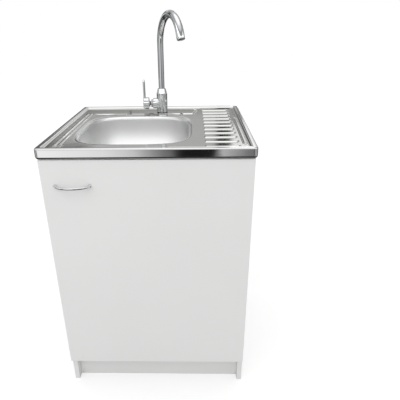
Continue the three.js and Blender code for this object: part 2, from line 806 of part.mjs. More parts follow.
// The overflow sits on the bowl's right wall and leans with it. In this group +X is out through the
// wall and +Z is up along it; its origin lies on the wall's inner face.
const overflowGroup = new THREE.Group();
const overflowInset = lipRadius + (overflowDrop - lipRadius) * Math.tan(bowlDraft);
overflowGroup.position.set(bowlX + bowlWidth / 2 - overflowInset, bowlY, fieldTop - overflowDrop);
overflowGroup.rotation.y = bowlDraft;
overflowGroup.updateMatrixWorld(true);
unit.add(overflowGroup);

function sinkBowl() {
  const wallTop = fieldTop - lipRadius - lipCollar - touch;
  const wallFoot = bowlFloor + footRadius * (1 - Math.sin(bowlDraft));
  const insetAt = (z) => lipRadius + (fieldTop - lipRadius - z) * Math.tan(bowlDraft);
  const footCentre = insetAt(wallFoot) + footRadius * Math.cos(bowlDraft);
  const draftDegrees = THREE.MathUtils.radToDeg(bowlDraft);
  const recessInset = bowlWidth / 2 - recessRadius;
  const wall = [
    [insetAt(wallTop), wallTop],
    ...arc(footCentre, bowlFloor + footRadius, footRadius, 180 + draftDegrees, 266, 5),
    [recessInset, bowlFloor - floorFall],
    [recessInset + recessDepth, recessFloor],
    [bowlWidth / 2 - drainHoleRadius, recessFloor],
  ];
  const bowl = bentSheet(wall, -sheet, bowlRing);
  const hole = prism(
    roundedOutline(0, 0, overflowHoleHeight / 2, overflowHoleWidth / 2, 6),
    -20,
    20,
  );
  const opening = hole.rotate(0, 90, 0).rotate(0, THREE.MathUtils.radToDeg(bowlDraft), 0);
  const place = overflowGroup.position;
  addPiece('sink_bowl', bowl.subtract(opening.translate(place.x, place.y, place.z)), finishes.steel());
}

/** Four bent clips on the side panels, each hooked over the sink's turned-in flange. */
function sinkClips() {
  const flangeTop = bandBottom + sheet;
  const hookBottom = flangeTop + touch;
  for (const side of [-1, 1]) {
    clipInsets.forEach((inset, i) => {
      const inner = side * (innerHalf - touch);
      const legX = [inner, inner - side * clipThickness].sort((a, b) => a - b);
      const hookX = [inner - side * clipThickness, inner + side * clipHook].sort((a, b) => a - b);
      const y = [cabinetFront + inset, cabinetFront + inset + clipWidth];
      const leg = box(legX, y, [cabinetTop - clipLeg, hookBottom + clipThickness]);
      const hook = box(hookX, y, [hookBottom, hookBottom + clipThickness]);
      const name = `sink_clip_${side < 0 ? 'left' : 'right'}_${i === 0 ? 'front' : 'rear'}`;
      addPiece(name, leg.add(hook), finishes.zinc());
    });
  }
}

// ---------------------------------------------------------------------------------------------
// Waste
// ---------------------------------------------------------------------------------------------

/** A solid that was made about the drain's vertical axis, moved to the drain. */
const atDrain = (solid, z = 0) => solid.translate(bowlX, bowlY, z);

/** The chrome strainer: a rim on the recess, a cup through the hole, a cross in its floor. */
function drainStrainer() {
  const rimTop = touch + strainerSheet;
  const floor = -strainerDepth;
  const profile = [
    [strainerRadius, touch],
    [strainerRadius, touch + 0.7],
    [strainerRadius - 1.5, rimTop],
    [cupMouthRadius + 1, rimTop],
    [cupMouthRadius, rimTop - 1],
    [cupMouthRadius - 1, floor + strainerSheet],
    [drainScrewRadius + touch, floor + strainerSheet],
    [drainScrewRadius + touch, floor],
    [cupMouthRadius + 0.2, floor],
    [cupMouthRadius + strainerSheet, touch],
  ];
  const openings = turned([[7, floor - 1], [20, floor - 1], [20, floor + 4], [7, floor + 4]], 20);
  const cross = [floor - 2, floor + 5];
  const bar = [-strainerBar / 2, strainerBar / 2];
  const bars = box([-30, 30], bar, cross).add(box(bar, [-30, 30], cross));
  return turned(profile).subtract(openings.subtract(bars));
}

/** The plastic body under the bowl: flange, cup that narrows to a socket, bridge and side tube. */
function drainBody() {
  const socketRadius = pipeRadius + touch;
  const coneTop = -drainBodyHeight * 0.55;
  const coneFoot = -drainBodyHeight + socketDepth + 4;
  const profile = [
    [strainerRadius, 0],
    [strainerRadius, -3],
    [drainBodyRadius, -4],
    [drainBodyRadius - 1, coneTop],
    [socketRadius + drainWall + 1.5, coneFoot],
    [socketRadius + drainWall + 1.5, coneFoot - 3],
    [socketRadius + drainWall, coneFoot - 4],
    [socketRadius + drainWall, -drainBodyHeight],
    [socketRadius, -drainBodyHeight],
    [socketRadius, -drainBodyHeight + socketDepth + touch],
    [pipeRadius - pipeWall, -drainBodyHeight + socketDepth + touch],
    [pipeRadius - pipeWall, coneFoot + 2],
    [drainBodyRadius - 1 - drainWall, coneTop + 2],
    [drainBodyRadius - drainWall, -3],
    [drainBodyRadius - drainWall, 0],
  ];
  let body = turned(profile, 20);
  const outer = rod(sideTubeRadius, [drainBodyRadius - drainWall - 1, 0, -sideTubeDrop], [sideTubeReach, 0, -sideTubeDrop]);
  const bore = rod(sideTubeRadius - drainWall, [0, 0, -sideTubeDrop], [sideTubeReach + 1, 0, -sideTubeDrop]);
  body = body.add(outer).subtract(bore);
  const bridge = [-bridgeDrop - bridgeHeight, -bridgeDrop];
  const reach = drainBodyRadius - drainWall / 2;
  body = body.add(box([-2, 2], [-reach + 1, reach - 1], bridge));
  body = body.add(rod(6, [0, 0, bridge[0]], [0, 0, bridge[1]], 16));
  return body.subtract(rod(drainScrewRadius + touch, [0, 0, bridge[0] - 1], [0, 0, bridge[1] + 1], 16));
}

function drain() {
  addPiece('drain_strainer', atDrain(drainStrainer(), recessFloor), finishes.chrome());
  const gasketTop = recessFloor - sheet - touch;
  const gasket = turned([
    [drainHoleRadius + 1, -gasketThickness],
    [strainerRadius, -gasketThickness],
    [strainerRadius, 0],
    [drainHoleRadius + 1, 0],
  ]);
  addPiece('drain_gasket', atDrain(gasket, gasketTop), finishes.rubber());
  addPiece('drain_body', atDrain(drainBody(), bodyTop), finishes.whitePlastic());
  const seat = recessFloor - strainerDepth + strainerSheet + touch;
  const head = rod(5.5, [0, 0, seat], [0, 0, seat + 2.6], 20);
  const shank = rod(drainScrewRadius, [0, 0, bodyTop - bridgeDrop - bridgeHeight + 1], [0, 0, seat + 1], 16);
  addPiece('drain_screw', atDrain(head.add(shank)), finishes.zinc());
}

/** The rubber plug and the ring through its stem. */
function drainPlug() {
  const rimBottom = recessFloor + 2 * touch + strainerSheet;
  const eyeZ = rimBottom + plugRimHeight + plugStemHeight - 4;
  const slack = 0.4;
  const profile = [
    [0, rimBottom - plugSkirt],
    [cupMouthRadius - 1 - slack, rimBottom - plugSkirt],
    [cupMouthRadius - slack, rimBottom - strainerSheet],
    [cupMouthRadius - slack, rimBottom],
    [plugRadius - 1, rimBottom],
    [plugRadius, rimBottom + 1],
    [plugRadius - 2, rimBottom + plugRimHeight],
    [13, rimBottom + plugRimHeight + 3.5],
    [5, rimBottom + plugRimHeight + 6],
    [3.6, rimBottom + plugRimHeight + 8],
    [3.6, rimBottom + plugRimHeight + plugStemHeight - 1],
    [2.8, rimBottom + plugRimHeight + plugStemHeight],
    [0, rimBottom + plugRimHeight + plugStemHeight],
  ];
  const eye = rod(ringWire + 1.3, [-10, 0, eyeZ], [10, 0, eyeZ], 12);
  addPiece('drain_plug', atDrain(turned(profile).subtract(eye)), finishes.rubber());
  const wire = arc(ringRadius, 0, ringWire, 0, 360, 6).slice(0, -1);
  const loop = turned(wire, 20).rotate(90, 0, 0);
  addPiece('plug_ring', atDrain(loop, eyeZ + ringRadius), finishes.chrome());
}

/** A pipe with a hose spigot that leaves it sideways and upwards. */
function dropPipe() {
  let pipe = turned([
    [pipeRadius - pipeWall, dropPipeBottom],
    [pipeRadius, dropPipeBottom],
    [pipeRadius, dropPipeTop],
    [pipeRadius - pipeWall, dropPipeTop],
  ]);
  const rootZ = bodyBottom - spigotDrop;
  const heading = [-Math.cos(spigotTilt), 0, Math.sin(spigotTilt)];
  const along = (distance) => heading.map((value, i) => value * distance + (i === 2 ? rootZ : 0));
  const end = pipeRadius + spigotLength;
  let spigot = rod(spigotRadius, along(pipeRadius - pipeWall - 1), along(end), 16);
  for (const step of [0, 8]) {
    spigot = spigot.add(rod(spigotRadius + 1.2, along(end - step - 3), along(end - step), 16));
  }
  pipe = pipe.add(spigot).subtract(rod(spigotRadius - pipeWall, along(0), along(end + 1), 16));
  return pipe.subtract(rod(pipeRadius - pipeWall, [0, 0, dropPipeBottom - 1], [0, 0, dropPipeTop + 1], 24));
}

/** The small pull ring that is moulded on a stub below the spigot. */
function blankingCap() {
  const z = bodyBottom - capDrop;
  const wire = arc(capRingRadius, 0, capRingWire, 0, 360, 6).slice(0, -1);
  const stub = -pipeRadius - touch - 0.2;
  const middle = stub - 5 - capRingRadius;
  const loop = turned(wire, 18).rotate(90, 0, 0).translate(middle, 0, z);
  return loop.add(rod(2.4, [stub, 0, z], [stub - 6, 0, z], 12)).add(rod(5, [stub, 0, z], [stub - 1.5, 0, z], 16));
}

/** A union nut with grip ribs: round the socket below and, with its lip, round the pipe above. */
function unionNut(radius, bore, lipBore, height, ribs) {
  const profile = [
    [bore, 0],
    [radius - 1.5, 0],
    [radius, 1.5],
    [radius, height - 3],
    [radius - 3, height],
    [lipBore, height],
    [lipBore, height - nutLip],
    [bore, height - nutLip],
  ];
  let nut = turned(profile);
  for (let i = 0; i < ribs; i += 1) {
    const grip = box([radius - 1.5, radius + 1.2], [-1.5, 1.5], [2, height - 4]);
    nut = nut.add(grip.rotate(0, 0, (360 * i) / ribs));
  }
  return nut;
}

const socketBore = pipeRadius + touch;
const socketOuter = socketBore + socketWall;
const nutBore = socketOuter + touch;

/** The union nut with two ears. */
function wingNut() {
  const ears = box([-wingReach, wingReach], [-2.5, 2.5], [4, wingNutHeight - 8]);
  const clear = rod(wingNutRadius - 2, [0, 0, -1], [0, 0, wingNutHeight + 1]);
  return unionNut(wingNutRadius, nutBore, socketBore, wingNutHeight, 0).add(ears.subtract(clear));
}

/** The U of the trap with a socket on each leg, in one run from the near leg's top to the far leg's. */
function trapBend() {
  const across = new THREE.Vector3(Math.cos(trapTurn), Math.sin(trapTurn), 0);
  const down = new THREE.Vector3(0, 0, -1);
  const side = down.clone().cross(across);
  const foot = new THREE.Vector3(bowlX, bowlY, trapCentre);
  const near = (z, radius) => ({ at: foot.clone().setZ(trapCentre + z), heading: down, radius });
  const farFoot = foot.clone().addScaledVector(across, trapCentres);
  const up = down.clone().negate();
  const far = (z, radius) => ({ at: farFoot.clone().setZ(trapCentre + z), heading: up, radius });
  const bendCentre = foot.clone().addScaledVector(across, trapCentres / 2);
  const bend = new Arc(bendCentre, foot, down, Math.PI);
  const bendPlaces = (radius) => Array.from({ length: 9 }, (_, i) => {
    return { at: bend.getPoint(i / 8), heading: bend.getTangent(i / 8), radius };
  });
  const seat = trapLeg - socketDepth;
  const outer = [
    near(trapLeg, socketOuter),
    near(seat - 1, socketOuter),
    near(seat - 5, pipeRadius),
    ...bendPlaces(pipeRadius),
    far(2, socketOuter),
    far(trapShortLeg, socketOuter),
  ];
  const bore = pipeRadius - pipeWall;
  const inner = [
    near(trapLeg, socketBore),
    near(seat - touch, socketBore),
    near(seat - touch, bore),
    ...bendPlaces(bore),
    far(touch, bore),
    far(touch, socketBore),
    far(trapShortLeg, socketBore),
  ];
  const rings = (places) => ringsAlong(places, places.map(({ radius }) => radius), side, 20);
  return loft([...rings(outer), ...rings(inner).reverse()], true);
}

/** The elbow and the straight pipe that runs back to the wall. */
function outletPipe() {
  const insert = farTop - (trapShortLeg - 2 * touch);
  const end = unitDepth - outletEndMargin;
  const places = route([
    [trapFarX, trapFarY, insert],
    [trapFarX, trapFarY, outletZ],
    [trapFarX, end, outletZ],
  ], elbowRadius);
  return tube(places, pipeRadius, pipeRadius - pipeWall, new THREE.Vector3(1, 0, 0));
}

function trap() {
  addPiece('drop_pipe', atDrain(dropPipe()), finishes.whitePlastic());
  addPiece('blanking_cap', atDrain(blankingCap()), finishes.whitePlastic());
  addPiece('wing_nut', atDrain(wingNut(), trapTop - wingNutHeight + nutOverlap), finishes.whitePlastic());
  addPiece('trap_bend', trapBend(), finishes.whitePlastic());
  const nutFoot = farTop - slipNutHeight + nutOverlap;
  const nut = unionNut(wingNutRadius, nutBore, socketBore, slipNutHeight, 8).translate(trapFarX, trapFarY, nutFoot);
  addPiece('slip_nut', nut, finishes.whitePlastic());
  addPiece('outlet_pipe', outletPipe(), finishes.whitePlastic());
}

// ---------------------------------------------------------------------------------------------
// Overflow
// ---------------------------------------------------------------------------------------------

/** A prism made in plan and stood up against the bowl's wall, from x0 to x1 outwards. */
function againstWall(outline, x0, x1, holes = []) {
  return prism(outline, x0, x1, holes).rotate(0, 90, 0);
}

/** The chrome rose inside the bowl: a shallow dish with slots and a screw hole. */
function overflowRose() {
  const outer = roundedOutline(0, 0, roseHeight / 2, roseWidth / 2, 6);
  const inner = roundedOutline(0, 0, roseHeight / 2 - 1.2, roseWidth / 2 - 1.2, 5);
  let rose = againstWall(outer, -touch - roseDepth, -touch);
  rose = rose.subtract(againstWall(inner, -touch - roseDepth + 1.2, 1));
  for (const y of [-21, -14, 14, 21]) {
    rose = rose.subtract(againstWall(roundedOutline(0, y, roseHeight / 2 - 9, 1.8, 1.6, 2), -10, 1));
  }
  return rose.subtract(rod(2.5 + touch, [-10, 0, 0], [1, 0, 0], 16));
}

/** The plastic box outside the wall, open to it, with a spigot that points down. */
function overflowHousing() {
  const back = sheet + touch + gasketThickness + touch;
  const outer = roundedOutline(0, 0, roseHeight / 2, roseWidth / 2, 5);
  const inner = roundedOutline(0, 0, roseHeight / 2 - housingWall, roseWidth / 2 - housingWall, 3);
  let housing = againstWall(outer, back, back + housingDepth);
  housing = housing.subtract(againstWall(inner, back - 1, back + housingDepth - housingWall));
  const middle = back + housingDepth / 2;
  const spigot = overflowPipeRadius - overflowPipeWall - touch;
  const foot = -roseHeight / 2 - overflowGrip;
  housing = housing.add(rod(spigot, [middle, 0, foot], [middle, 0, -roseHeight / 2 + housingWall / 2]));
  housing = housing.subtract(rod(spigot - 1.8, [middle, 0, foot - 1], [middle, 0, 0]));
  const post = rod(5, [back + 6, 0, 0], [back + housingDepth - 1, 0, 0], 16);
  return housing.add(post).subtract(rod(2.5 + touch, [0, 0, 0], [back + housingDepth - 4, 0, 0], 16));
}

function overflow() {
  addPiece('overflow_rose', overflowRose(), finishes.chrome(), overflowGroup);
  const gasketIn = sheet + touch;
  const frame = roundedOutline(0, 0, roseHeight / 2 + gasketMargin, roseWidth / 2 + gasketMargin, 6);
  const hole = roundedOutline(0, 0, overflowHoleHeight / 2, overflowHoleWidth / 2, 6).reverse();
  const gasket = againstWall(frame, gasketIn, gasketIn + gasketThickness, [hole]);
  addPiece('overflow_gasket', gasket, finishes.rubber(), overflowGroup);
  addPiece('overflow_housing', overflowHousing(), finishes.whitePlastic(), overflowGroup);
  const headTip = -touch - roseDepth - touch;
  const head = rod(4.5, [headTip - 1.8, 0, 0], [headTip, 0, 0], 20);
  const back = gasketIn + gasketThickness + touch;
  const shank = rod(2.5, [headTip - 1, 0, 0], [back + housingDepth - 5, 0, 0], 12);
  addPiece('overflow_screw', head.add(shank), finishes.zinc(), overflowGroup);
}

/** The bent pipe from the housing's spigot down and across to the drain body's side tube. */
function overflowPipe() {
  const middle = sheet + touch + gasketThickness + touch + housingDepth / 2;
  const along = (x, z) => {
    const point = new THREE.Vector3(x, 0, z).applyMatrix4(overflowGroup.matrix);
    return [point.x, point.y, point.z];
  };
  const mouth = -roseHeight / 2 - gasketMargin - touch;
  const pipeTop = along(middle, mouth);
  const level = bodyTop - sideTubeDrop;
  const drop = (pipeTop[2] - level) / Math.cos(bowlDraft);
  const corner = along(middle, mouth - drop);
  const nozzle = bowlX + sideTubeReach + touch;
  const places = route([pipeTop, [corner[0], corner[1], level], [nozzle, bowlY, level]], overflowBend);
  return tube(places, overflowPipeRadius, overflowPipeRadius - overflowPipeWall, new THREE.Vector3(0, 1, 0), 16);
}

function overflowConnection() {
  overflowGroup.updateMatrix();
  addPiece('overflow_pipe', overflowPipe(), finishes.whitePlastic());
  const bore = Math.max(sideTubeRadius, overflowPipeRadius) + touch;
  const nut = unionNut(overflowNutRadius - 1.2, bore, bore, overflowNutLength, 8).rotate(0, 90, 0);
  const nutX = bowlX + strainerRadius + 1;
  addPiece('overflow_nut', nut.translate(nutX, bowlY, bodyTop - sideTubeDrop), finishes.whitePlastic());
}

// ---------------------------------------------------------------------------------------------
// Tap
// ---------------------------------------------------------------------------------------------

const tapGroup = new THREE.Group();
tapGroup.position.set(tapOffset, tapY, tapFoot);
unit.add(tapGroup);

/** The body with its conical shoulder and, to the left, the housing of the cartridge. */
function tapBody() {
  const neck = spoutRadius + 3;
  const barrel = turned([
    [0, 0],
    [tapBodyRadius - 0.6, 0],
    [tapBodyRadius, 0.8],
    [tapBodyRadius, tapBodyHeight - tapShoulder],
    [neck + 1.6, tapBodyHeight - 2],
    [neck, tapBodyHeight],
    [0, tapBodyHeight],
  ]);
  const housing = rod(housingRadius, [0, 0, housingHeight], [-housingReach, 0, housingHeight], 24);
  const seat = cartridgeRadius + touch;
  const socket = rod(seat, [-housingReach + 8, 0, housingHeight], [-housingReach - 1, 0, housingHeight]);
  const spoutSocket = rod(spoutRadius + touch, [0, 0, tapBodyHeight - 24], [0, 0, tapBodyHeight + 1]);
  const nipple = rod(shankRadius - 3, [0, 0, -1], [0, 0, 10], 24);
  return barrel.add(housing).subtract(socket).subtract(spoutSocket).subtract(nipple);
}

/** A point on the spout's centre plane: so far out to the front, so far up. */
const spoutPoint = (out, up) => new THREE.Vector3(0, -out, up);
const spoutSide = new THREE.Vector3(1, 0, 0);

/** The spout's centre line: straight up, round the arc and a little on. */
function spoutPlaces() {
  const top = tapBodyHeight + spoutStraight;
  const vertical = new THREE.Vector3(0, 0, 1);
  const bend = new Arc(spoutPoint(spoutArcRadius, top), spoutPoint(0, top), vertical, spoutArc);
  const places = [{ at: spoutPoint(0, tapBodyHeight - 24 + touch), heading: vertical, radius: spoutRadius }];
  const steps = 13;
  for (let i = 0; i <= steps; i += 1) {
    const radius = THREE.MathUtils.lerp(spoutRadius, spoutEndRadius, i / steps);
    places.push({ at: bend.getPoint(i / steps), heading: bend.getTangent(i / steps), radius });
  }
  const end = places[places.length - 1];
  places.push({ ...end, at: end.at.clone().addScaledVector(end.heading, spoutTail) });
  return places;
}

/** The swan-neck spout, a tube that widens along its arc. */
function tapSpout() {
  const places = spoutPlaces();
  const outer = places.map(({ radius }) => radius);
  const bore = outer.map((radius) => radius - spoutWall);
  return tube(places, outer, bore, spoutSide, 16);
}

/** The aerator pushed into the spout's mouth. */
function tapAerator() {
  const mouth = spoutPlaces().pop();
  const bore = spoutEndRadius - spoutWall - touch;
  const inside = 3 - aeratorLength;
  const profile = [
    [inside, bore],
    [touch, bore],
    [touch, spoutEndRadius - 0.4],
    [3, spoutEndRadius - 0.8],
    [3, bore - 2],
    [inside, bore - 2],
  ];
  const places = profile.map(([step]) => ({ ...mouth, at: mouth.at.clone().addScaledVector(mouth.heading, step) }));
  return loft(ringsAlong(places, profile.map(([, radius]) => radius), spoutSide, 16), true);
}

/** The lever: a cap over the ball, held by two stubs, and a flat blade that stands up from it. */
function tapLever(pivotX) {
  const open = pivotX + leverSkirt;
  const face = open - leverDepth;
  const inside = face + leverWall;
  const bore = leverRadius - leverWall;
  let lever = rod(leverRadius, [open, 0, housingHeight], [face + 1.5, 0, housingHeight], 28);
  lever = lever.add(rod(leverRadius - 1.2, [face + 2, 0, housingHeight], [face, 0, housingHeight], 28));
  const tip = housingHeight + bladeLength - bladeWidth / 2;
  const blade = [
    [-bladeWidth / 2 - 1.5, housingHeight + leverRadius - 8],
    [bladeWidth / 2 + 1.5, housingHeight + leverRadius - 8],
    [bladeWidth / 2, housingHeight + leverRadius + 8],
    ...arc(0, tip, bladeWidth / 2, 0, 180, 8),
    [-bladeWidth / 2, housingHeight + leverRadius + 8],
  ];
  lever = lever.add(prism(blade, face, face + bladeThickness).rotate(90, 0, 0).rotate(0, 0, 90));
  lever = lever.subtract(rod(bore, [inside, 0, housingHeight], [open + 1, 0, housingHeight], 24));
  for (const side of [-1, 1]) {
    const from = [pivotX, side * (ballRadius - 2.5), housingHeight];
    lever = lever.add(rod(leverPinRadius, from, [pivotX, side * (bore + 1), housingHeight], 12));
  }
  return lever;
}

function tap() {
  addPiece('tap_body', tapBody(), finishes.chrome(), tapGroup);
  const swivel = new THREE.Group();
  swivel.rotation.z = spoutTurn;
  tapGroup.add(swivel);
  addPiece('tap_spout', tapSpout(), finishes.chrome(), swivel);
  addPiece('tap_aerator', tapAerator(), finishes.chrome(), swivel);

  const seatX = -housingReach + 8 - touch;
  const neckEnd = seatX - cartridgeLength;
  const pivotX = neckEnd - ballRadius - touch;
  const spindle = rod(6, [neckEnd + 1, 0, housingHeight], [neckEnd - 2, 0, housingHeight], 16);
  const cartridge = rod(cartridgeRadius, [seatX, 0, housingHeight], [neckEnd, 0, housingHeight]).add(spindle);
  addPiece('tap_cartridge', cartridge, finishes.zinc(), tapGroup);

  let ball = solidOf(new THREE.SphereGeometry(ballRadius, 16, 10)).translate(pivotX, 0, housingHeight);
  ball = ball.subtract(rod(6 + touch, [neckEnd + 1, 0, housingHeight], [neckEnd - 2 - touch, 0, housingHeight], 16));
  const pinHole = leverPinRadius + touch;
  ball = ball.subtract(rod(pinHole, [pivotX, -20, housingHeight], [pivotX, -ballRadius + 3, housingHeight], 12));
  ball = ball.subtract(rod(pinHole, [pivotX, ballRadius - 3, housingHeight], [pivotX, 20, housingHeight], 12));
  addPiece('tap_ball', ball, finishes.zinc(), tapGroup);
  addPiece('tap_lever', tapLever(pivotX), finishes.chrome(), tapGroup);

  const seal = turned([
    [tapHoleRadius, -touch - tapGasketThickness],
    [tapBodyRadius, -touch - tapGasketThickness],
    [tapBodyRadius, -touch],
    [tapHoleRadius, -touch],
  ]);
  addPiece('tap_gasket', seal, finishes.rubber(), tapGroup);
  const shank = turned([
    [shankRadius - shankWall, -shankLength],
    [shankRadius, -shankLength],
    [shankRadius, -touch],
    [shankRadius - 3 - touch, -touch],
    [shankRadius - 3 - touch, 9],
    [shankRadius - 3 - touch - shankWall, 9],
    [shankRadius - 3 - touch - shankWall, -6],
    [shankRadius - shankWall, -9],
  ]);
  addPiece('tap_shank', shank, finishes.zinc(), tapGroup);
  const under = platformTop - sheet - tapFoot - touch;
  const washer = turned([
    [shankRadius + touch, under - washerThickness],
    [washerRadius, under - washerThickness],
    [washerRadius, under],
    [shankRadius + touch, under],
  ]);
  addPiece('tap_washer', washer, finishes.rubber(), tapGroup);
  const nutTop = under - washerThickness - touch;
  const hexagon = arc(0, 0, tapNutRadius, 0, 360, 6).slice(0, -1);
  const bore = rod(shankRadius + touch, [0, 0, nutTop - tapNutHeight - 1], [0, 0, nutTop + 1], 28);
  addPiece('tap_nut', prism(hexagon, nutTop - tapNutHeight, nutTop).subtract(bore), finishes.zinc(), tapGroup);
}

// ---------------------------------------------------------------------------------------------
// The unit
// ---------------------------------------------------------------------------------------------

cabinet();
door();
doorHandle();
hinges();
sinkDeck();
sinkBowl();
sinkClips();
drain();
drainPlug();
trap();
overflow();
overflowConnection();
tap();

export default unit;
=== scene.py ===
"""Dressed model of a kitchen sink unit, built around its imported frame.

A white base cabinet with one door carries a stainless sink top with a bowl and a drainer. A swan-neck tap
stands on the top's platform, and the waste kit with its trap and overflow hangs below the bowl.
All sizes in this file are millimetres in the unit's own frame: X to the right, Y from the sink's front
edge to the rear, Z up from the floor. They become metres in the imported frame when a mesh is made.
"""

import logging
import math
from dataclasses import dataclass
from enum import Enum

import bmesh
import bpy
import numpy as np
from mathutils import Matrix

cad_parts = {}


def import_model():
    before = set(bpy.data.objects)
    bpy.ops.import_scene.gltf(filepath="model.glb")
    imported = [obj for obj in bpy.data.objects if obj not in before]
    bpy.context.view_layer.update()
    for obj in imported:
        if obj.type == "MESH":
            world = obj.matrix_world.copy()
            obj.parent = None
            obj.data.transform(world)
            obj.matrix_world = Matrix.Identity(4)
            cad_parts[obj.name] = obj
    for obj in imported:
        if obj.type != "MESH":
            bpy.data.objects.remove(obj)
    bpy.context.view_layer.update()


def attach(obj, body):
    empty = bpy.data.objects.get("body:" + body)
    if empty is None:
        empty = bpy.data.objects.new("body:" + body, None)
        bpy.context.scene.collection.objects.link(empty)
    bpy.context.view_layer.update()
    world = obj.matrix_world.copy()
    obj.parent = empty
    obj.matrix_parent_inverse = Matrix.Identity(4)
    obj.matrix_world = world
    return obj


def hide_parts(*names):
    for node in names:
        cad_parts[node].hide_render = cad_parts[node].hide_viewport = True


Array = np.ndarray
Object = bpy.types.Object
Socket = bpy.types.NodeSocket
LOG = logging.getLogger("sink_unit")
MM = 0.001  # metres in a millimetre
FRONT_TO_ORIGIN = 288.45  # from the sink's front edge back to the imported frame's origin
CLEARANCE = 0.3  # between pieces that meet
PICTURE = 400  # pixels across the picture
FLAT_FROM = 0.00006  # square metres from which a face beside a rounded edge is shaded flat
FULL_TURN = 2 * math.pi


class Side(Enum):
    """Which side of the unit a piece belongs to."""

    LEFT = "left"
    RIGHT = "right"


class Body(Enum):
    """The bodies that move on their own."""

    UNIT = "unit"
    DOOR = "door"
    SPOUT = "spout"
    TURNER = "tap_turner"
    LEVER = "lever"
    PLUG = "plug"


class Slot(Enum):
    """The material slots of the record."""

    LAMINATE = "laminate"
    HARDBOARD = "hardboard"
    STEEL = "steel"
    CHROME = "chrome"
    ZINC = "zinc"
    PLASTIC = "white_plastic"
    RUBBER = "rubber"


# --- Node trees and materials ---


class NodeTree:
    """A node tree that is being put together."""

    def __init__(self, tree: bpy.types.NodeTree) -> None:
        """Starts with the tree emptied."""
        self.tree = tree
        tree.nodes.clear()

    def feed(self, node: bpy.types.Node, inputs: dict) -> None:
        """Fills a node's inputs.

        Args:
            node: the node.
            inputs: sockets to link or plain values, by the inputs' names or numbers.
        """
        for key, value in inputs.items():
            if isinstance(value, Socket):
                self.tree.links.new(value, node.inputs[key])
            else:
                node.inputs[key].default_value = value

    def node(self, kind: str, inputs: dict | None = None, **settings: object) -> bpy.types.Node:
        """Adds a node.

        Args:
            kind: the node's type.
            inputs: what its inputs get.
            settings: its other properties.

        Returns:
            The node.
        """
        node = self.tree.nodes.new(kind)
        for name, value in settings.items():
            setattr(node, name, value)
        self.feed(node, inputs or {})
        return node

    def maths(self, operation: str, *values: object) -> Socket:
        """One Math node fed with sockets or numbers."""
        return self.node("ShaderNodeMath", dict(enumerate(values)), operation=operation).outputs[0]


class Shader(NodeTree):
    """A node material on Object coordinates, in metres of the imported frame."""

    def __init__(self, name: str) -> None:
        """Starts a material with one Principled shader.

        Args:
            name: the material's name.
        """
        self.material = bpy.data.materials.new(name)
        self.material.use_nodes = True
        super().__init__(self.material.node_tree)
        self.surface = self.node("ShaderNodeBsdfPrincipled")
        self.node("ShaderNodeOutputMaterial", {"Surface": self.surface.outputs["BSDF"]})
        self.place = self.node("ShaderNodeTexCoord").outputs["Object"]

    def noise(self, scale: float, detail: float = 2.0, stretch: tuple = (1, 1, 1)) -> Socket:
        """A noise pattern between 0 and 1, with features per metre, octaves and a stretch along each axis."""
        place = self.node("ShaderNodeMapping", {"Vector": self.place, "Scale": stretch}).outputs["Vector"]
        return self.node("ShaderNodeTexNoise", {"Vector": place, "Scale": scale, "Detail": detail}).outputs["Fac"]

    def cells(self, scale: float) -> Socket:
        """Distances in a pattern with so many cells per metre."""
        return self.node("ShaderNodeTexVoronoi", {"Vector": self.place, "Scale": scale}).outputs["Distance"]

    def between(self, value: object, low: float, high: float, source: tuple = (0.3, 0.7)) -> Socket:
        """Spreads the source part of a pattern over a range from low to high."""
        ends = {"From Min": source[0], "From Max": source[1], "To Min": low, "To Max": high}
        return self.node("ShaderNodeMapRange", {"Value": value, **ends}).outputs["Result"]

    def tinted(self, pattern: object, dark: tuple, light: tuple) -> Socket:
        """Mixes a dark and a light colour by a pattern, which is the share of the light one."""
        inputs = {"Factor": pattern, 6: (*dark, 1.0), 7: (*light, 1.0)}
        return self.node("ShaderNodeMix", inputs, data_type="RGBA").outputs[2]

    def bump(self, height: object, distance: float, strength: float = 1.0, **under: object) -> Socket:
        """Turns a height pattern, whose full step is a distance in metres, into a normal over a coarser one."""
        inputs = {"Height": height, "Distance": distance, "Strength": strength, **under}
        return self.node("ShaderNodeBump", inputs).outputs["Normal"]

    def fill(self, values: dict) -> bpy.types.Material:
        """Fills the Principled shader's sockets and returns the material."""
        self.feed(self.surface, values)
        return self.material


@dataclass(frozen=True)
class Laminate:
    """White melamine on chipboard, with its very fine orange peel."""

    colour: tuple = (0.868, 0.868, 0.862)
    fade: float = 0.982
    roughness: float = 0.42
    spread: float = 0.05

    def build(self) -> bpy.types.Material:
        """Makes the material."""
        shader = Shader("white_laminate")
        cloud, peel = shader.noise(3.2, 3.0), shader.noise(1500, 1.0)
        pores = shader.maths("MULTIPLY", shader.cells(950), 0.6)
        darker = tuple(c * self.fade for c in self.colour)
        return shader.fill({
            "Base Color": shader.tinted(shader.between(cloud, 0, 1), darker, self.colour),
            "Roughness": shader.between(peel, self.roughness - self.spread, self.roughness + self.spread),
            "Normal": shader.bump(shader.maths("ADD", peel, pores), 0.00003, 0.35),
            "Specular IOR Level": 0.35,
        })


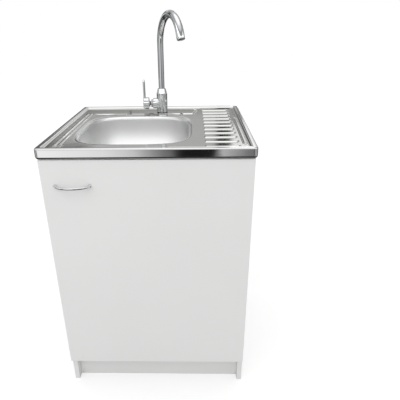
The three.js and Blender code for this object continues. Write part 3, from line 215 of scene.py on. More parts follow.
@dataclass(frozen=True)
class Steel:
    """Stainless sheet: rolled grain along X, with faint waves from the press."""

    name: str
    colour: tuple
    roughness: float
    grain: float
    waviness: float
    metallic: float = 1.0

    def build(self) -> bpy.types.Material:
        """Makes the material."""
        shader = Shader(self.name)
        lines = shader.noise(260, 4.0, (0.05, 5.0, 5.0))
        fine = shader.noise(900, 2.0, (0.04, 3.0, 3.0))
        cloud = shader.noise(9, 3.0)
        waves = shader.noise(14, 1.5, (0.8, 1.4, 1.4))
        grained = shader.maths("ADD", shader.maths("MULTIPLY", lines, 0.6), shader.maths("MULTIPLY", fine, 0.4))
        tone = shader.between(shader.maths("ADD", grained, cloud), 0, 1, (0.7, 1.3))
        darker = tuple(c * (1 - 0.5 * self.grain) for c in self.colour)
        spread = self.roughness * self.grain * 1.75
        wave = shader.bump(waves, 0.0012 * self.waviness, 1.0)
        return shader.fill({
            "Base Color": shader.tinted(tone, darker, self.colour),
            "Metallic": self.metallic,
            "Roughness": shader.between(grained, self.roughness - spread, self.roughness + spread),
            "Normal": shader.bump(grained, 0.000016 * self.grain, 0.5, Normal=wave),
        })


@dataclass(frozen=True)
class Coat:
    """A plain finish: clouds in its colour and sheen, over a fine skin.

    The cloud and the skin are noise patterns; the relief is the skin's height in metres and its strength.
    """

    name: str
    colour: tuple
    fade: float
    roughness: tuple
    cloud: tuple
    skin: tuple
    relief: tuple
    metallic: float = 0.0
    glow: float = 0.0

    def build(self) -> bpy.types.Material:
        """Makes the material."""
        shader = Shader(self.name)
        cloud, skin = shader.noise(*self.cloud), shader.noise(*self.skin)
        darker = tuple(c * self.fade for c in self.colour)
        return shader.fill({
            "Base Color": shader.tinted(shader.between(cloud, 0, 1), darker, self.colour),
            "Metallic": self.metallic,
            "Roughness": shader.between(cloud, *self.roughness),
            "Normal": shader.bump(skin, *self.relief),
            "Subsurface Weight": self.glow,
            "Subsurface Radius": (0.004, 0.0035, 0.003),
            "Subsurface Scale": 0.5,
        })


@dataclass(frozen=True)
class Finish:
    """The materials of a piece and the record's slot that they belong to."""

    slot: Slot
    materials: tuple


class Finishes:
    """Every finish of the unit, made once."""

    def __init__(self) -> None:
        """Makes the materials."""
        fibres = (420, 5.0, (1, 1, 2.2))
        self.laminate = Finish(Slot.LAMINATE, (Laminate().build(),))
        self.hardboard = self._coat(Slot.HARDBOARD, Coat(
            "coated_hardboard", (0.80, 0.785, 0.74), 0.93, (0.52, 0.68), fibres, fibres, (0.00012, 0.5),
        ))
        # The field's copy of the steel is darker and slightly olive beside the rim's: over the steel's own grey, its
        # colour holds a painted reflection of the room's darker, olive tones.
        field = Steel("sink_field_steel", (0.66, 0.665, 0.645), 0.075, 0.16, 0.10).build()
        rim = Steel("sink_rim_steel", (0.76, 0.765, 0.76), 0.05, 0.05, 0.25).build()
        drawn = Steel("sink_bowl_steel", (0.78, 0.785, 0.78), 0.29, 0.02, 0.02, 0.94).build()
        self.deck_steel = Finish(Slot.STEEL, (field, rim, drawn))
        self.bowl_steel = Finish(Slot.STEEL, (drawn,))
        self.chrome = self._coat(Slot.CHROME, Coat(
            "bright_chrome", (0.73, 0.74, 0.75), 0.975, (0.035, 0.07), (60, 3.0), (90, 1.5), (0.00004, 0.5), 1.0,
        ))
        self.zinc = self._coat(Slot.ZINC, Coat(
            "zinc_plate", (0.60, 0.605, 0.61), 0.86, (0.27, 0.42), (140, 4.0), (1100, 3.0), (0.00004, 0.5), 1.0,
        ))
        self.plastic = self._coat(Slot.PLASTIC, Coat(
            "white_moulded_plastic", (0.85, 0.85, 0.835), 0.965, (0.31, 0.42), (40, 3.0), (1700, 2.0),
            (0.00004, 0.5), glow=0.12,
        ))
        self.rubber = self._coat(Slot.RUBBER, Coat(
            "black_rubber", (0.0352, 0.0352, 0.0368), 0.625, (0.5, 0.68), (120, 4.0), (1400, 3.0), (0.00006, 0.6),
        ))

    def _coat(self, slot: Slot, coat: Coat) -> Finish:
        """Makes the finish of one coat."""
        return Finish(slot, (coat.build(),))


# --- Meshes ---


def in_frame(points: Array) -> Array:
    """Turns millimetres in the unit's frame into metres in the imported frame."""
    return (np.asarray(points, float) - np.array([0, FRONT_TO_ORIGIN, 0])) * MM


def smoothstep(value: Array) -> Array:
    """Eases a share from 0 to 1 without a kink."""
    share = np.clip(value, 0.0, 1.0)
    return share * share * (3 - 2 * share)


def eased(path: list, radius: float, steps: int = 3, closed: bool = False) -> Array:
    """Rounds the corners of a path in the plane.

    Args:
        path: its points.
        radius: how far from a corner the rounding starts, at most.
        steps: segments in each rounding.
        closed: whether the last point joins the first.

    Returns:
        The points of the rounded path.
    """
    points = [np.array(p, float) for p in path]
    count = len(points)
    result = []
    for i, point in enumerate(points):
        if not closed and i in (0, count - 1):
            result.append(point)
            continue
        before, after = points[i - 1], points[(i + 1) % count]
        arriving, leaving = point - before, after - point
        reach_in, reach_out = np.linalg.norm(arriving), np.linalg.norm(leaving)
        if min(reach_in, reach_out) < 1e-6:
            continue
        arriving, leaving = arriving / reach_in, leaving / reach_out
        if np.dot(arriving, leaving) > 0.995:
            result.append(point)
            continue
        cut = min(radius, 0.46 * reach_in, 0.46 * reach_out)
        start, end = point - arriving * cut, point + leaving * cut
        for step in range(steps + 1):
            t = step / steps
            result.append((1 - t) ** 2 * start + 2 * t * (1 - t) * point + t**2 * end)
    return np.array(result)


def washer(bore: float, radius: float, low: float, high: float, edge: float, steps: int = 2) -> Array:
    """Profile of a flat ring between two radii and two heights, with rounded edges."""
    return eased([(bore, low), (radius, low), (radius, high), (bore, high)], edge, steps, True)


def places(x: object, y: object) -> Array:
    """Points of the plane, along which X or Y may stay the same."""
    return np.column_stack(np.broadcast_arrays(x, y))


def raised(outline: Array, height: float) -> Array:
    """Gives all points of the plane one height."""
    return np.column_stack([outline, np.full(len(outline), height)])


@dataclass(frozen=True)
class Stand:
    """Where a turned or moulded piece stands: its origin and the directions of its own axes."""

    origin: tuple = (0.0, 0.0, 0.0)
    along: tuple = (0.0, 0.0, 1.0)
    side: tuple = (1.0, 0.0, 0.0)

    def axes(self) -> Array:
        """Returns the unit vectors of the piece's own X, Y and Z as rows."""
        z = np.array(self.along, float)
        z /= np.linalg.norm(z)
        x = np.array(self.side, float)
        x -= z * np.dot(x, z)
        x /= np.linalg.norm(x)
        return np.array([x, np.cross(z, x), z])

    def place(self, local: Array) -> Array:
        """Moves points of the piece's own frame into the unit's frame."""
        return np.asarray(local, float) @ self.axes() + np.array(self.origin, float)

    def moved(self, height: float) -> "Stand":
        """Returns the same stand moved along its own Z."""
        return Stand(tuple(self.place([[0, 0, height]])[0]), self.along, self.side)


class Skin:
    """The vertices and faces of a piece that is being made, in millimetres."""

    def __init__(self) -> None:
        """Starts empty."""
        self.points: list[Array] = []
        self.faces: list[tuple[int, ...]] = []
        self.kinds: list[int] = []
        self.count = 0

    def add(self, points: Array) -> int:
        """Adds vertices.

        Args:
            points: their places.

        Returns:
            The number of the first.
        """
        first = self.count
        points = np.asarray(points, float).reshape(-1, 3)
        self.points.append(points)
        self.count += len(points)
        return first

    def take(self, points: Array, faces: list) -> None:
        """Adds vertices with their faces.

        Args:
            points: the vertices.
            faces: the faces, as numbers of these vertices.
        """
        first = self.add(points)
        self.faces += [tuple(first + i for i in face) for face in faces]
        self.kinds += [0] * len(faces)

    def rows(self, rows: Array, around: bool = True, along: bool = False, kind: int = 0) -> "Skin":
        """Joins rows of points by quads.

        Args:
            rows: an array of rows, points in a row, and three coordinates.
            around: whether each row closes on itself.
            along: whether the last row joins the first.
            kind: the material's place in the list.

        Returns:
            This skin.
        """
        height, width = rows.shape[:2]
        first = self.add(rows)
        for i in range(height if along else height - 1):
            j = (i + 1) % height
            for k in range(width if around else width - 1):
                n = (k + 1) % width
                a, b = first + i * width + k, first + i * width + n
                c, d = first + j * width + n, first + j * width + k
                self.faces.append((a, b, c, d))
                self.kinds.append(kind)
        return self

    def lid(self, ring: Array, kind: int = 0) -> "Skin":
        """Closes a ring with one face.

        Args:
            ring: the ring's points.
            kind: number of the face's material.

        Returns:
            The skin itself.
        """
        first = self.add(ring)
        self.faces.append(tuple(range(first, first + len(ring))))
        self.kinds.append(kind)
        return self

    def lathe(self, profile: Array, stand: Stand, sides: int = 48, closed: bool = True) -> "Skin":
        """Turns a profile of radius and height about the stand's axis.

        Args:
            profile: points of radius and height.
            stand: where the axis is.
            sides: faces round the axis.
            closed: whether the profile's end joins its start.

        Returns:
            This skin.
        """
        profile = np.asarray(profile, float)
        angle = np.linspace(0, FULL_TURN, sides, endpoint=False)
        rows = np.empty((len(profile), sides, 3))
        rows[:, :, 0] = profile[:, :1] * np.cos(angle)
        rows[:, :, 1] = profile[:, :1] * np.sin(angle)
        rows[:, :, 2] = profile[:, 1:2]
        placed = stand.place(rows.reshape(-1, 3)).reshape(rows.shape)
        return self.rows(placed, True, closed)

    def prism(self, outline: Array, low: float, high: float, stand: Stand) -> "Skin":
        """Stands an outline up between two heights of the stand.

        Args:
            outline: its points in the stand's X and Y.
            low: lower height.
            high: upper height.
            stand: where the outline stands.

        Returns:
            This skin.
        """
        outline = np.asarray(outline, float)
        rings = []
        for z in (low, high):
            rings.append(stand.place(raised(outline, z)))
        self.rows(np.array(rings), True, False)
        self.lid(rings[0][::-1])
        self.lid(rings[1])
        return self

    def to_object(self, name: str, closed: bool = True, crease: float = 40.0) -> Object:
        """Makes the object.

        Args:
            name: the piece's name.
            closed: whether it is a closed shell whose faces are turned outwards.
            crease: angle in degrees from which an edge is sharp.

        Returns:
            The object, with no material yet.
        """
        mesh = bpy.data.meshes.new(name)
        mesh.from_pydata(in_frame(np.vstack(self.points)).tolist(), [], self.faces)
        mesh.polygons.foreach_set("material_index", self.kinds)
        form = bmesh.new()
        form.from_mesh(mesh)
        bmesh.ops.remove_doubles(form, verts=form.verts, dist=2e-7)
        bmesh.ops.dissolve_degenerate(form, edges=form.edges, dist=1e-8)
        if closed:
            bmesh.ops.recalc_face_normals(form, faces=form.faces)
        form.to_mesh(mesh)
        form.free()
        shade(mesh, crease)
        piece = bpy.data.objects.new(name, mesh)
        bpy.context.scene.collection.objects.link(piece)
        return piece


def shade(mesh: bpy.types.Mesh, crease: float) -> None:
    """Shades a mesh smooth, with sharp creases.

    Args:
        mesh: the mesh.
        crease: angle in degrees from which an edge is sharp.
    """
    mesh.polygons.foreach_set("use_smooth", [True] * len(mesh.polygons))
    mesh.set_sharp_from_angle(angle=math.radians(crease))
    mesh.update()


def evaluated_mesh(piece: Object) -> bpy.types.Mesh:
    """Applies a piece's modifiers and clears them.

    Args:
        piece: the piece.

    Returns:
        The mesh that they make.
    """
    bpy.context.view_layer.update()
    mesh = bpy.data.meshes.new_from_object(piece.evaluated_get(bpy.context.evaluated_depsgraph_get()))
    piece.modifiers.clear()
    return mesh


def baked(piece: Object, crease: float = 40.0) -> Object:
    """Applies a piece's modifiers to its mesh.

    Args:
        piece: the object with modifiers.
        crease: angle in degrees from which an edge is sharp.

    Returns:
        The same object with a plain mesh.
    """
    piece.data = evaluated_mesh(piece)
    piece.data.name = piece.name
    shade(piece.data, crease)
    return piece


def thickened(piece: Object, thickness: float, crease: float) -> Object:
    """Gives an open sheet its thickness, downwards.

    Args:
        piece: the sheet's upper face.
        thickness: the sheet's thickness.
        crease: angle in degrees from which an edge is sharp.

    Returns:
        The same object as a closed sheet.
    """
    sheet = piece.modifiers.new("sheet", "SOLIDIFY")
    sheet.thickness = thickness * MM
    sheet.offset = -1
    sheet.use_even_offset = True
    return baked(piece, crease)


def remove(*pieces: Object) -> None:
    """Deletes helper objects."""
    for piece in pieces:
        bpy.data.objects.remove(piece, do_unlink=True)


def trimmed(
    piece: Object, add: list | None = None, cut: list | None = None, crease: float = 40.0
) -> Object:
    """Joins helper solids to a piece and cuts others from it.

    Args:
        piece: the object that is kept.
        add: solids to join, which are then deleted.
        cut: solids to cut away, which are then deleted.
        crease: angle in degrees from which an edge is sharp.

    Returns:
        The piece with a plain mesh.
    """
    helpers = [(tool, "UNION") for tool in add or []] + [(tool, "DIFFERENCE") for tool in cut or []]
    for tool, operation in helpers:
        boolean = piece.modifiers.new("trim", "BOOLEAN")
        boolean.operation = operation
        boolean.object = tool
        boolean.solver = "EXACT"
    baked(piece, crease)
    remove(*[tool for tool, _ in helpers])
    return piece


def bevelled(piece: Object, width: float, segments: int = 2, angle: float = 35.0) -> Object:
    """Rounds a piece's sharp edges.

    Args:
        piece: the object.
        width: width of the rounding in millimetres.
        segments: faces across it.
        angle: edges sharper than this, in degrees, are rounded.

    Returns:
        The piece with a plain mesh.
    """
    bevel = piece.modifiers.new("edges", "BEVEL")
    bevel.width = width * MM
    bevel.segments = segments
    bevel.limit_method = "ANGLE"
    bevel.angle_limit = math.radians(angle)
    bevel.use_clamp_overlap = True
    baked(piece, 30.0)
    for polygon in piece.data.polygons:
        polygon.use_smooth = polygon.area < FLAT_FROM
    return piece


def from_node(node: str, name: str, width: float, segments: int = 2) -> Object:
    """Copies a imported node, merges it into flat faces and rounds its edges.

    Args:
        node: the node's name.
        name: the piece's name.
        width: width of the rounding in millimetres.
        segments: faces across it.

    Returns:
        The new piece.
    """
    mesh = bpy.data.objects[node].data.copy()
    mesh.name = name
    mesh.materials.clear()
    form = bmesh.new()
    form.from_mesh(mesh)
    bmesh.ops.remove_doubles(form, verts=form.verts, dist=1e-6)
    bmesh.ops.dissolve_limit(form, angle_limit=math.radians(0.6), verts=form.verts, edges=form.edges)
    form.to_mesh(mesh)
    form.free()
    piece = bpy.data.objects.new(name, mesh)
    bpy.context.scene.collection.objects.link(piece)
    return bevelled(piece, width, segments) if width else piece


def dressed(node: str, name: str, width: float, finish: Finish, body: Body, segments: int = 2) -> None:
    """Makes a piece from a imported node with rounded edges, and finishes it."""
    finished(from_node(node, name, width, segments), finish, body, node)


def finished(piece: Object, finish: Finish, body: Body, *nodes: str) -> None:
    """Gives a piece its finish and its place in the frame.

    Args:
        piece: the object.
        finish: its materials and slot.
        body: the body it moves with.
        nodes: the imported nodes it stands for.
    """
    kinds = [polygon.material_index for polygon in piece.data.polygons]
    piece.data.materials.clear()
    for material in finish.materials:
        piece.data.materials.append(material)
    if len(finish.materials) > 1:
        piece.data.polygons.foreach_set("material_index", kinds)
    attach(piece, body.value)
    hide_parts(*nodes)
    LOG.info("%s: %d faces, on %s", piece.name, len(piece.data.polygons), body.value)


def swept(
    centres: Array, radii: Array, side: tuple, sides: int = 32, bore: Array | None = None
) -> Skin:
    """A round bar or tube along a path whose plane has one fixed normal.

    Args:
        centres: the path's points.
        radii: the radius at each point.
        side: the normal of the path's plane.
        sides: faces round the tube.
        bore: the inner radius at each point, or None for a solid bar.

    Returns:
        The skin.
    """
    centres = np.asarray(centres, float)
    heading = np.gradient(centres, axis=0)
    heading /= np.linalg.norm(heading, axis=1)[:, None]
    normal = np.array(side, float) / np.linalg.norm(side)
    across = np.cross(heading, normal)
    across /= np.linalg.norm(across, axis=1)[:, None]
    angle = np.linspace(0, FULL_TURN, sides, endpoint=False)

    def rings(reach: Array) -> Array:
        """Rings of one radius each along the path."""
        spread = np.cos(angle)[None, :, None] * across[:, None, :] + np.sin(angle)[None, :, None] * normal
        return centres[:, None, :] + np.asarray(reach)[:, None, None] * spread

    skin = Skin()
    outer = rings(radii)
    if bore is None:
        skin.rows(outer)
        skin.lid(outer[0][::-1])
        skin.lid(outer[-1])
        return skin
    return skin.rows(np.concatenate([outer, rings(bore)[::-1]]), True, True)


def chamfered(radii: Array, width: float) -> Array:
    """Takes a little off the first and the last radius.

    Args:
        radii: the radii along a turned piece.
        width: what is taken off.

    Returns:
        The new radii.
    """
    ends = np.zeros(len(radii))
    ends[[0, -1]] = width
    return radii - ends


def bent_path(corners: list, radius: float, bend_steps: int = 16, run_steps: int = 4) -> Array:
    """A path of straight runs with round bends.

    Args:
        corners: its corner points.
        radius: radius of the bends' centre line.
        bend_steps: segments in each bend.
        run_steps: segments in each straight run.

    Returns:
        The points.
    """
    points = [np.array(c, float) for c in corners]
    path = [points[0]]
    for i in range(1, len(points) - 1):
        back, ahead = points[i - 1] - points[i], points[i + 1] - points[i]
        back /= np.linalg.norm(back)
        ahead /= np.linalg.norm(ahead)
        half = math.acos(float(np.clip(np.dot(back, ahead), -1, 1))) / 2
        cut = radius / math.tan(half)
        start, end = points[i] + back * cut, points[i] + ahead * cut
        bisector = back + ahead
        centre = points[i] + bisector / np.linalg.norm(bisector) * radius / math.sin(half)
        for step in range(1, run_steps):
            path.append(path[-1] + (start - path[-1]) / (run_steps + 1 - step))
        first, last = start - centre, end - centre
        turn = math.pi - 2 * half
        for step in range(bend_steps + 1):
            t = step / bend_steps
            share = (math.sin((1 - t) * turn) * first + math.sin(t * turn) * last) / math.sin(turn)
            path.append(centre + share)
    for step in range(1, run_steps):
        path.append(path[-1] + (points[-1] - path[-1]) / (run_steps + 1 - step))
    path.append(points[-1])
    return np.array(path)


def rounded_box(half_x: float, half_y: float, radius: float, steps: int = 8) -> Array:
    """Outline of a rounded rectangle about the origin.

    Args:
        half_x: half its length along X.
        half_y: half its length along Y.
        radius: its corners' radius.
        steps: sides of each corner.

    Returns:
        The outline's points, counter-clockwise.
    """
    points = []
    for quarter, (sx, sy) in enumerate([(1, 1), (-1, 1), (-1, -1), (1, -1)]):
        for step in range(steps + 1):
            angle = math.pi / 2 * (quarter + step / steps)
            x = sx * (half_x - radius) + radius * math.cos(angle)
            y = sy * (half_y - radius) + radius * math.sin(angle)
            points.append((x, y))
    return np.array(points)


def turned(
    profile: Array, stand: Stand, sides: int, name: str = "helper", closed: bool = False, crease: float = 40.0
) -> Object:
    """Turns a profile of radius and height about a stand's axis into an object."""
    return Skin().lathe(profile, stand, sides, closed).to_object(name, True, crease)


def cutter(outline: Array, low: float, high: float, stand: Stand) -> Object:
    """An outline stood up between two heights of a stand, used to trim other pieces."""
    return Skin().prism(outline, low, high, stand).to_object("helper")


def block(x: tuple, y: tuple, z: tuple, name: str = "helper") -> Object:
    """A plain box used to trim other pieces."""
    outline = [(x[0], y[0]), (x[1], y[0]), (x[1], y[1]), (x[0], y[1])]
    return Skin().prism(outline, z[0], z[1], Stand()).to_object(name)


def pin(start: tuple, end: tuple, radius: float, sides: int = 48, name: str = "helper") -> Object:
    """Makes a plain round bar, used to trim or join.

    Args:
        start: middle of one end.
        end: middle of the other end.
        radius: its radius.
        sides: its number of sides.
        name: the object's name.

    Returns:
        The bar.
    """
    start, end = np.array(start, float), np.array(end, float)
    length = float(np.linalg.norm(end - start))
    along = (end - start) / length
    side = (1.0, 0.0, 0.0) if abs(along[0]) < 0.9 else (0.0, 1.0, 0.0)
    profile = [(0, 0), (radius, 0), (radius, length), (0, length)]
    stand = Stand(tuple(start), tuple(along), side)
    return turned(profile, stand, sides, name)


# --- Repeated details ---


class DetailTree(NodeTree):
    """A Geometry Nodes tree with named inputs, whose result is taken over as plain faces."""

    def __init__(self, name: str, **inputs: str) -> None:
        """Starts the tree.

        Args:
            name: the tree's name.
            inputs: the kind of socket of each input.
        """
        super().__init__(bpy.data.node_groups.new(name, "GeometryNodeTree"))
        face = self.tree.interface
        face.new_socket("Geometry", in_out="INPUT", socket_type="NodeSocketGeometry")
        self.sockets = {
            label: face.new_socket(label, in_out="INPUT", socket_type=f"NodeSocket{kind}").identifier
            for label, kind in {**inputs, "Finish": "Material"}.items()
        }
        face.new_socket("Geometry", in_out="OUTPUT", socket_type="NodeSocketGeometry")
        self.start = self.node("NodeGroupInput").outputs

    def end(self, geometry: Socket) -> None:
        """Ends the tree in Realize Instances and Set Material.

        Args:
            geometry: what the tree has made.
        """
        real = self.node("GeometryNodeRealizeInstances", {"Geometry": geometry}).outputs[0]
        dressed = self.node("GeometryNodeSetMaterial", {"Geometry": real, "Material": self.start["Finish"]})
        self.node("NodeGroupOutput", {"Geometry": dressed.outputs[0]})

    def faces(self, values: dict, stand: Stand) -> tuple[Array, list]:
        """Evaluates the tree once.

        Args:
            values: the inputs by name, lengths in metres.
            stand: where the result stands.

        Returns:
            The points in millimetres of the unit's frame, and the faces.
        """
        carrier = bpy.data.objects.new("details", bpy.data.meshes.new("details"))
        bpy.context.scene.collection.objects.link(carrier)
        modifier = carrier.modifiers.new("details", "NODES")
        modifier.node_group = self.tree
        for label, value in values.items():
            modifier[self.sockets[label]] = value
        mesh = evaluated_mesh(carrier)
        points = np.array([v.co for v in mesh.vertices]) / MM
        faces = [tuple(p.vertices) for p in mesh.polygons]
        remove(carrier)
        return stand.place(points), faces


class RingOfDetails(DetailTree):
    """Copies of one detail set round an axis along +Z."""

    def __init__(self) -> None:
        """Builds the tree once."""
        super().__init__("ring_of_details", Detail="Object", Count="Int", Radius="Float")
        start = self.start
        circle = self.node("GeometryNodeMeshCircle", {"Vertices": start["Count"], "Radius": start["Radius"]})
        single = self.node("GeometryNodeObjectInfo", {"Object": start["Detail"]})
        place = self.node("GeometryNodeInputPosition").outputs[0]
        outwards = self.node("FunctionNodeAlignRotationToVector", {"Vector": place}, axis="X", pivot_axis="Z")
        copies = self.node("GeometryNodeInstanceOnPoints", {
            "Points": circle.outputs["Mesh"],
            "Instance": single.outputs["Geometry"],
            "Rotation": outwards.outputs["Rotation"],
        })
        self.end(copies.outputs["Instances"])

    def set_round(self, detail: Skin, count: int, radius: float, stand: Stand, finish: Finish) -> tuple:
        """Copies a detail round an axis.

        Args:
            detail: the detail, made about the origin with +X pointing outwards.
            count: number of copies.
            radius: distance of the copies from the axis.
            stand: the axis.
            finish: the finish.

        Returns:
            The points in millimetres of the unit's frame, and the faces.
        """
        source = bpy.data.meshes.new("detail")
        source.from_pydata((np.vstack(detail.points) * MM).tolist(), [], detail.faces)
        single = bpy.data.objects.new("detail", source)
        bpy.context.scene.collection.objects.link(single)
        values = {"Detail": single, "Count": count, "Radius": radius * MM, "Finish": finish.materials[0]}
        result = self.faces(values, stand)
        remove(single)
        return result


class ThreadRidge(DetailTree):
    """One thread's ridge wound round an axis along +Z."""

    def __init__(self) -> None:
        """Builds the tree once."""
        super().__init__("thread_ridge", Turns="Float", Length="Float", Radius="Float", Ridge="Float")
        start = self.start
        spiral = self.node("GeometryNodeCurveSpiral", {
            "Resolution": 24,
            "Rotations": start["Turns"],
            "Height": start["Length"],
            "Start Radius": start["Radius"],
            "End Radius": start["Radius"],
        })
        upright = self.node("GeometryNodeSetCurveNormal", {"Curve": spiral.outputs[0]}, mode="Z_UP")
        ridge = self.node("GeometryNodeCurvePrimitiveCircle", {"Resolution": 4, "Radius": start["Ridge"]})
        wound = self.node("GeometryNodeCurveToMesh", {
            "Curve": upright.outputs["Curve"],
            "Profile Curve": ridge.outputs["Curve"],
            "Fill Caps": True,
        })
        self.end(wound.outputs["Mesh"])

    def wind(self, size: tuple, span: tuple, pitch: float, stand: Stand, finish: Finish) -> tuple:
        """Winds the ridge round a screw's core.

        Args:
            size: the ridge's middle radius and half its width.
            span: where it starts and ends along the axis.
            pitch: the rise of one turn.
            stand: the axis.
            finish: the finish.

        Returns:
            The points in millimetres of the unit's frame, and the faces.
        """
        length = span[1] - span[0]
        values = {
            "Turns": length / pitch,
            "Length": length * MM,
            "Radius": size[0] * MM,
            "Ridge": size[1] * MM,
            "Finish": finish.materials[0],
        }
        return self.faces(values, stand.moved(span[0]))


def rounded_bar(size: tuple, lean: float = 0.6) -> Skin:
    """A small raised bar with leaning sides: its foot on X = 0, its height along X.

    Args:
        size: height outwards, width and length.
        lean: how much narrower its top is, each side.

    Returns:
        The skin.
    """
    height, width, length = size
    sections = []
    for x, inset in ((-1.0, 0.0), (height * 0.45, 0.0), (height * 0.85, lean * 0.6), (height, lean * 1.3)):
        half_w, half_l = width / 2 - inset, length / 2 - inset
        ring = rounded_box(half_w, half_l, min(0.9, half_w * 0.9), 2)
        sections.append(np.column_stack([np.full(len(ring), x), ring[:, 0], ring[:, 1]]))
    skin = Skin().rows(np.array(sections))
    skin.lid(sections[0][::-1])
    skin.lid(sections[-1])
    return skin


# --- Sink top ---


@dataclass
class SinkTop:
    """The pressed sink top: band, rim, field with ribs, beads and platform, and the bowl welded below it."""

    finishes: Finishes
    width: float = 600.0
    depth: float = 600.0
    top: float = 850.0
    field_top: float = 845.0
    sheet: float = 1.0
    band_bottom: float = 820.0
    band_corner: float = 12.0
    band_edge: float = 4.0
    band_foot: float = 4.5
    band_foot_height: float = 7.5
    flange: float = 15.0
    field_inset: float = 21.5
    slope_top: float = 14.0
    bowl_middle: tuple = (-53.0, 238.0)
    bowl_half: float = 175.0
    mouth: tuple = (52.0, 452.0)
    wall_top: tuple = (76.0, 430.0)
    bowl_power: float = 3.7
    bowl_depth: float = 160.0
    far_wall_lean: float = 40.0
    lip: float = 8.0
    lip_start: float = 7.0
    collar: float = 3.0
    draft: float = math.radians(3)
    foot_radius: float = 45.0
    floor_fall: float = 4.0
    recess_radius: float = 44.0
    recess_depth: float = 4.0
    drain_hole: float = 27.0
    rib_first: float = 35.0
    rib_pitch: float = 49.4
    rib_count: int = 11
    rib_span: tuple = (160.0, 258.0)
    rib_half: float = 11.5
    rib_flank: float = 4.0
    rib_height: float = 3.1
    left_beads: tuple = (-257.0, -244.0)
    left_bead_span: tuple = (30.0, 486.0)
    right_bead: float = 272.0
    right_bead_span: tuple = (56.0, 386.0)
    right_bead_half: float = 5.6
    right_bead_flank: float = 2.8
    bead_half: float = 4.2
    bead_run_out: float = 6.0
    bead_height: float = 2.8
    platform_front: float = 457.0
    platform_back: float = 548.0
    platform_rear_x: tuple = (-122.0, 152.0)
    platform_slant: float = 22.0
    platform_rise: float = 4.0
    platform_slope: float = 6.5
    ridge_y: float = 469.0
    ridge_span: tuple = (-237.0, -112.0)
    ridge_height: float = 4.0
    ridge_half: float = 12.0
    ridge_flank: float = 7.0
    tap_hole: tuple = (15.0, 485.0, 15.0)
    split_x: float = 155.0
    overflow_place: tuple = (112.06, 238.0, 800.0)
    crest_inset: float = 8.0
    band_lines: tuple = (838.0, 830.0)
    edge_steps: int = 5
    slope_steps: int = 8
    lip_steps: int = 14
    weld_steps: int = 9
    foot_arc: tuple = (183.0, 266.0)
    bowl_sides: int = 264
    deck_crease: float = 80.0
    bowl_crease: float = 60.0

    # -- the field's relief --

    def _bar(self, across: Array, along: Array) -> Array:
        """Height share of a bead on the left: a round back that runs out at its ends.

        Args:
            across: distance from the bead's middle line.
            along: place along it.

        Returns:
            The share, from 0 to 1.
        """
        start = smoothstep((along - self.left_bead_span[0]) / self.bead_run_out)
        end = smoothstep((self.left_bead_span[1] - along) / self.bead_run_out)
        return np.cos(np.clip(np.abs(across) / self.bead_half, 0, 1) * math.pi / 2) ** 2 * start * end

    def _rib(self, across: Array, along: Array) -> Array:
        """Height share of a drainer rib: steep flanks, a flat crest, a blunt left end and a round right end."""
        inside = self.rib_half - np.hypot(np.maximum(along - (self.rib_span[1] - self.rib_half), 0), across)
        return smoothstep(np.minimum(inside, along - self.rib_span[0]) / self.rib_flank)

    def _mesa(self, across: Array, along: Array, span: tuple, half: float, flank: float) -> Array:
        """Height share of a flat crest so far to both sides of a line, with squared ends."""
        ends = np.minimum(along - span[0], span[1] - along)
        return smoothstep(np.minimum(half - np.abs(across), ends) / flank)

    def _platform(self, x: Array, y: Array) -> Array:
        """Height share of the tap's platform.

        Args:
            x: places across the unit.
            y: places towards the rear.

        Returns:
            The share, from 0 to 1.
        """
        rear = self.depth - 20
        lean = self.platform_slant / (rear - self.platform_front)
        left = x - (self.platform_rear_x[0] + lean * (rear - y))
        right = (self.platform_rear_x[1] - lean * (rear - y)) - x
        front, back = y - self.platform_front, self.platform_back - y
        share = 1.0
        for distance in (left, right, front, back):
            share = share * smoothstep(distance / self.platform_slope)
        return share

    def height(self, x: Array, y: Array) -> Array:
        """Height of the field at places inside the rim.

        Args:
            x: places along X.
            y: places along Y.

        Returns:
            The heights.
        """
        z = np.full(np.broadcast(x, y).shape, self.field_top)
        for i in range(self.rib_count):
            middle = self.rib_first + i * self.rib_pitch
            z = z + self.rib_height * self._rib(y - middle, x)
        for middle in self.left_beads:
            z = z + self.bead_height * self._bar(x - middle, y)
        right = self._mesa(x - self.right_bead, y, self.right_bead_span, self.right_bead_half, self.right_bead_flank)
        ridge = self._mesa(y - self.ridge_y, x, self.ridge_span, self.ridge_half, self.ridge_flank)
        z = z + self.bead_height * right + self.ridge_height * ridge
        return z + self.platform_rise * self._platform(x, y)

    # -- the bowl's outline --

    def _ring(self, angle: Array, half_x: float, span: tuple, z: float, power: float) -> Array:
        """One level ring of the bowl: a square with swollen sides and soft corners, or a circle at power 2.

        Args:
            angle: directions from its middle.
            half_x: half its width.
            span: places of its front and its rear along Y.
            z: its height.
            power: how square it is.

        Returns:
            Its points.
        """
        half_y = (span[1] - span[0]) / 2
        across, along = np.abs(np.cos(angle)) / half_x, np.abs(np.sin(angle)) / half_y
        reach = (across**power + along**power) ** (-1 / power)
        x = self.bowl_middle[0] + reach * np.cos(angle)
        y = (span[0] + span[1]) / 2 + reach * np.sin(angle)
        return raised(places(x, y), z)

    def lip_ring(self, angle: Array, turn: float) -> Array:
        """Ring of the soft roll from the field into the bowl.

        Args:
            angle: directions from the bowl's middle.
            turn: how far the roll has turned down, from 0 to a right angle.

        Returns:
            Its points.
        """
        share = math.sin(turn)
        half_x = self.bowl_half + self.lip_start - (self.lip_start + self.lip) * share
        span = tuple(m + (w - m) * share for m, w in zip(self.mouth, self.wall_top))
        drop = (self.lip + self.collar) * (1 - math.cos(turn))
        return self._ring(angle, half_x, span, self.field_top - drop, self.bowl_power)

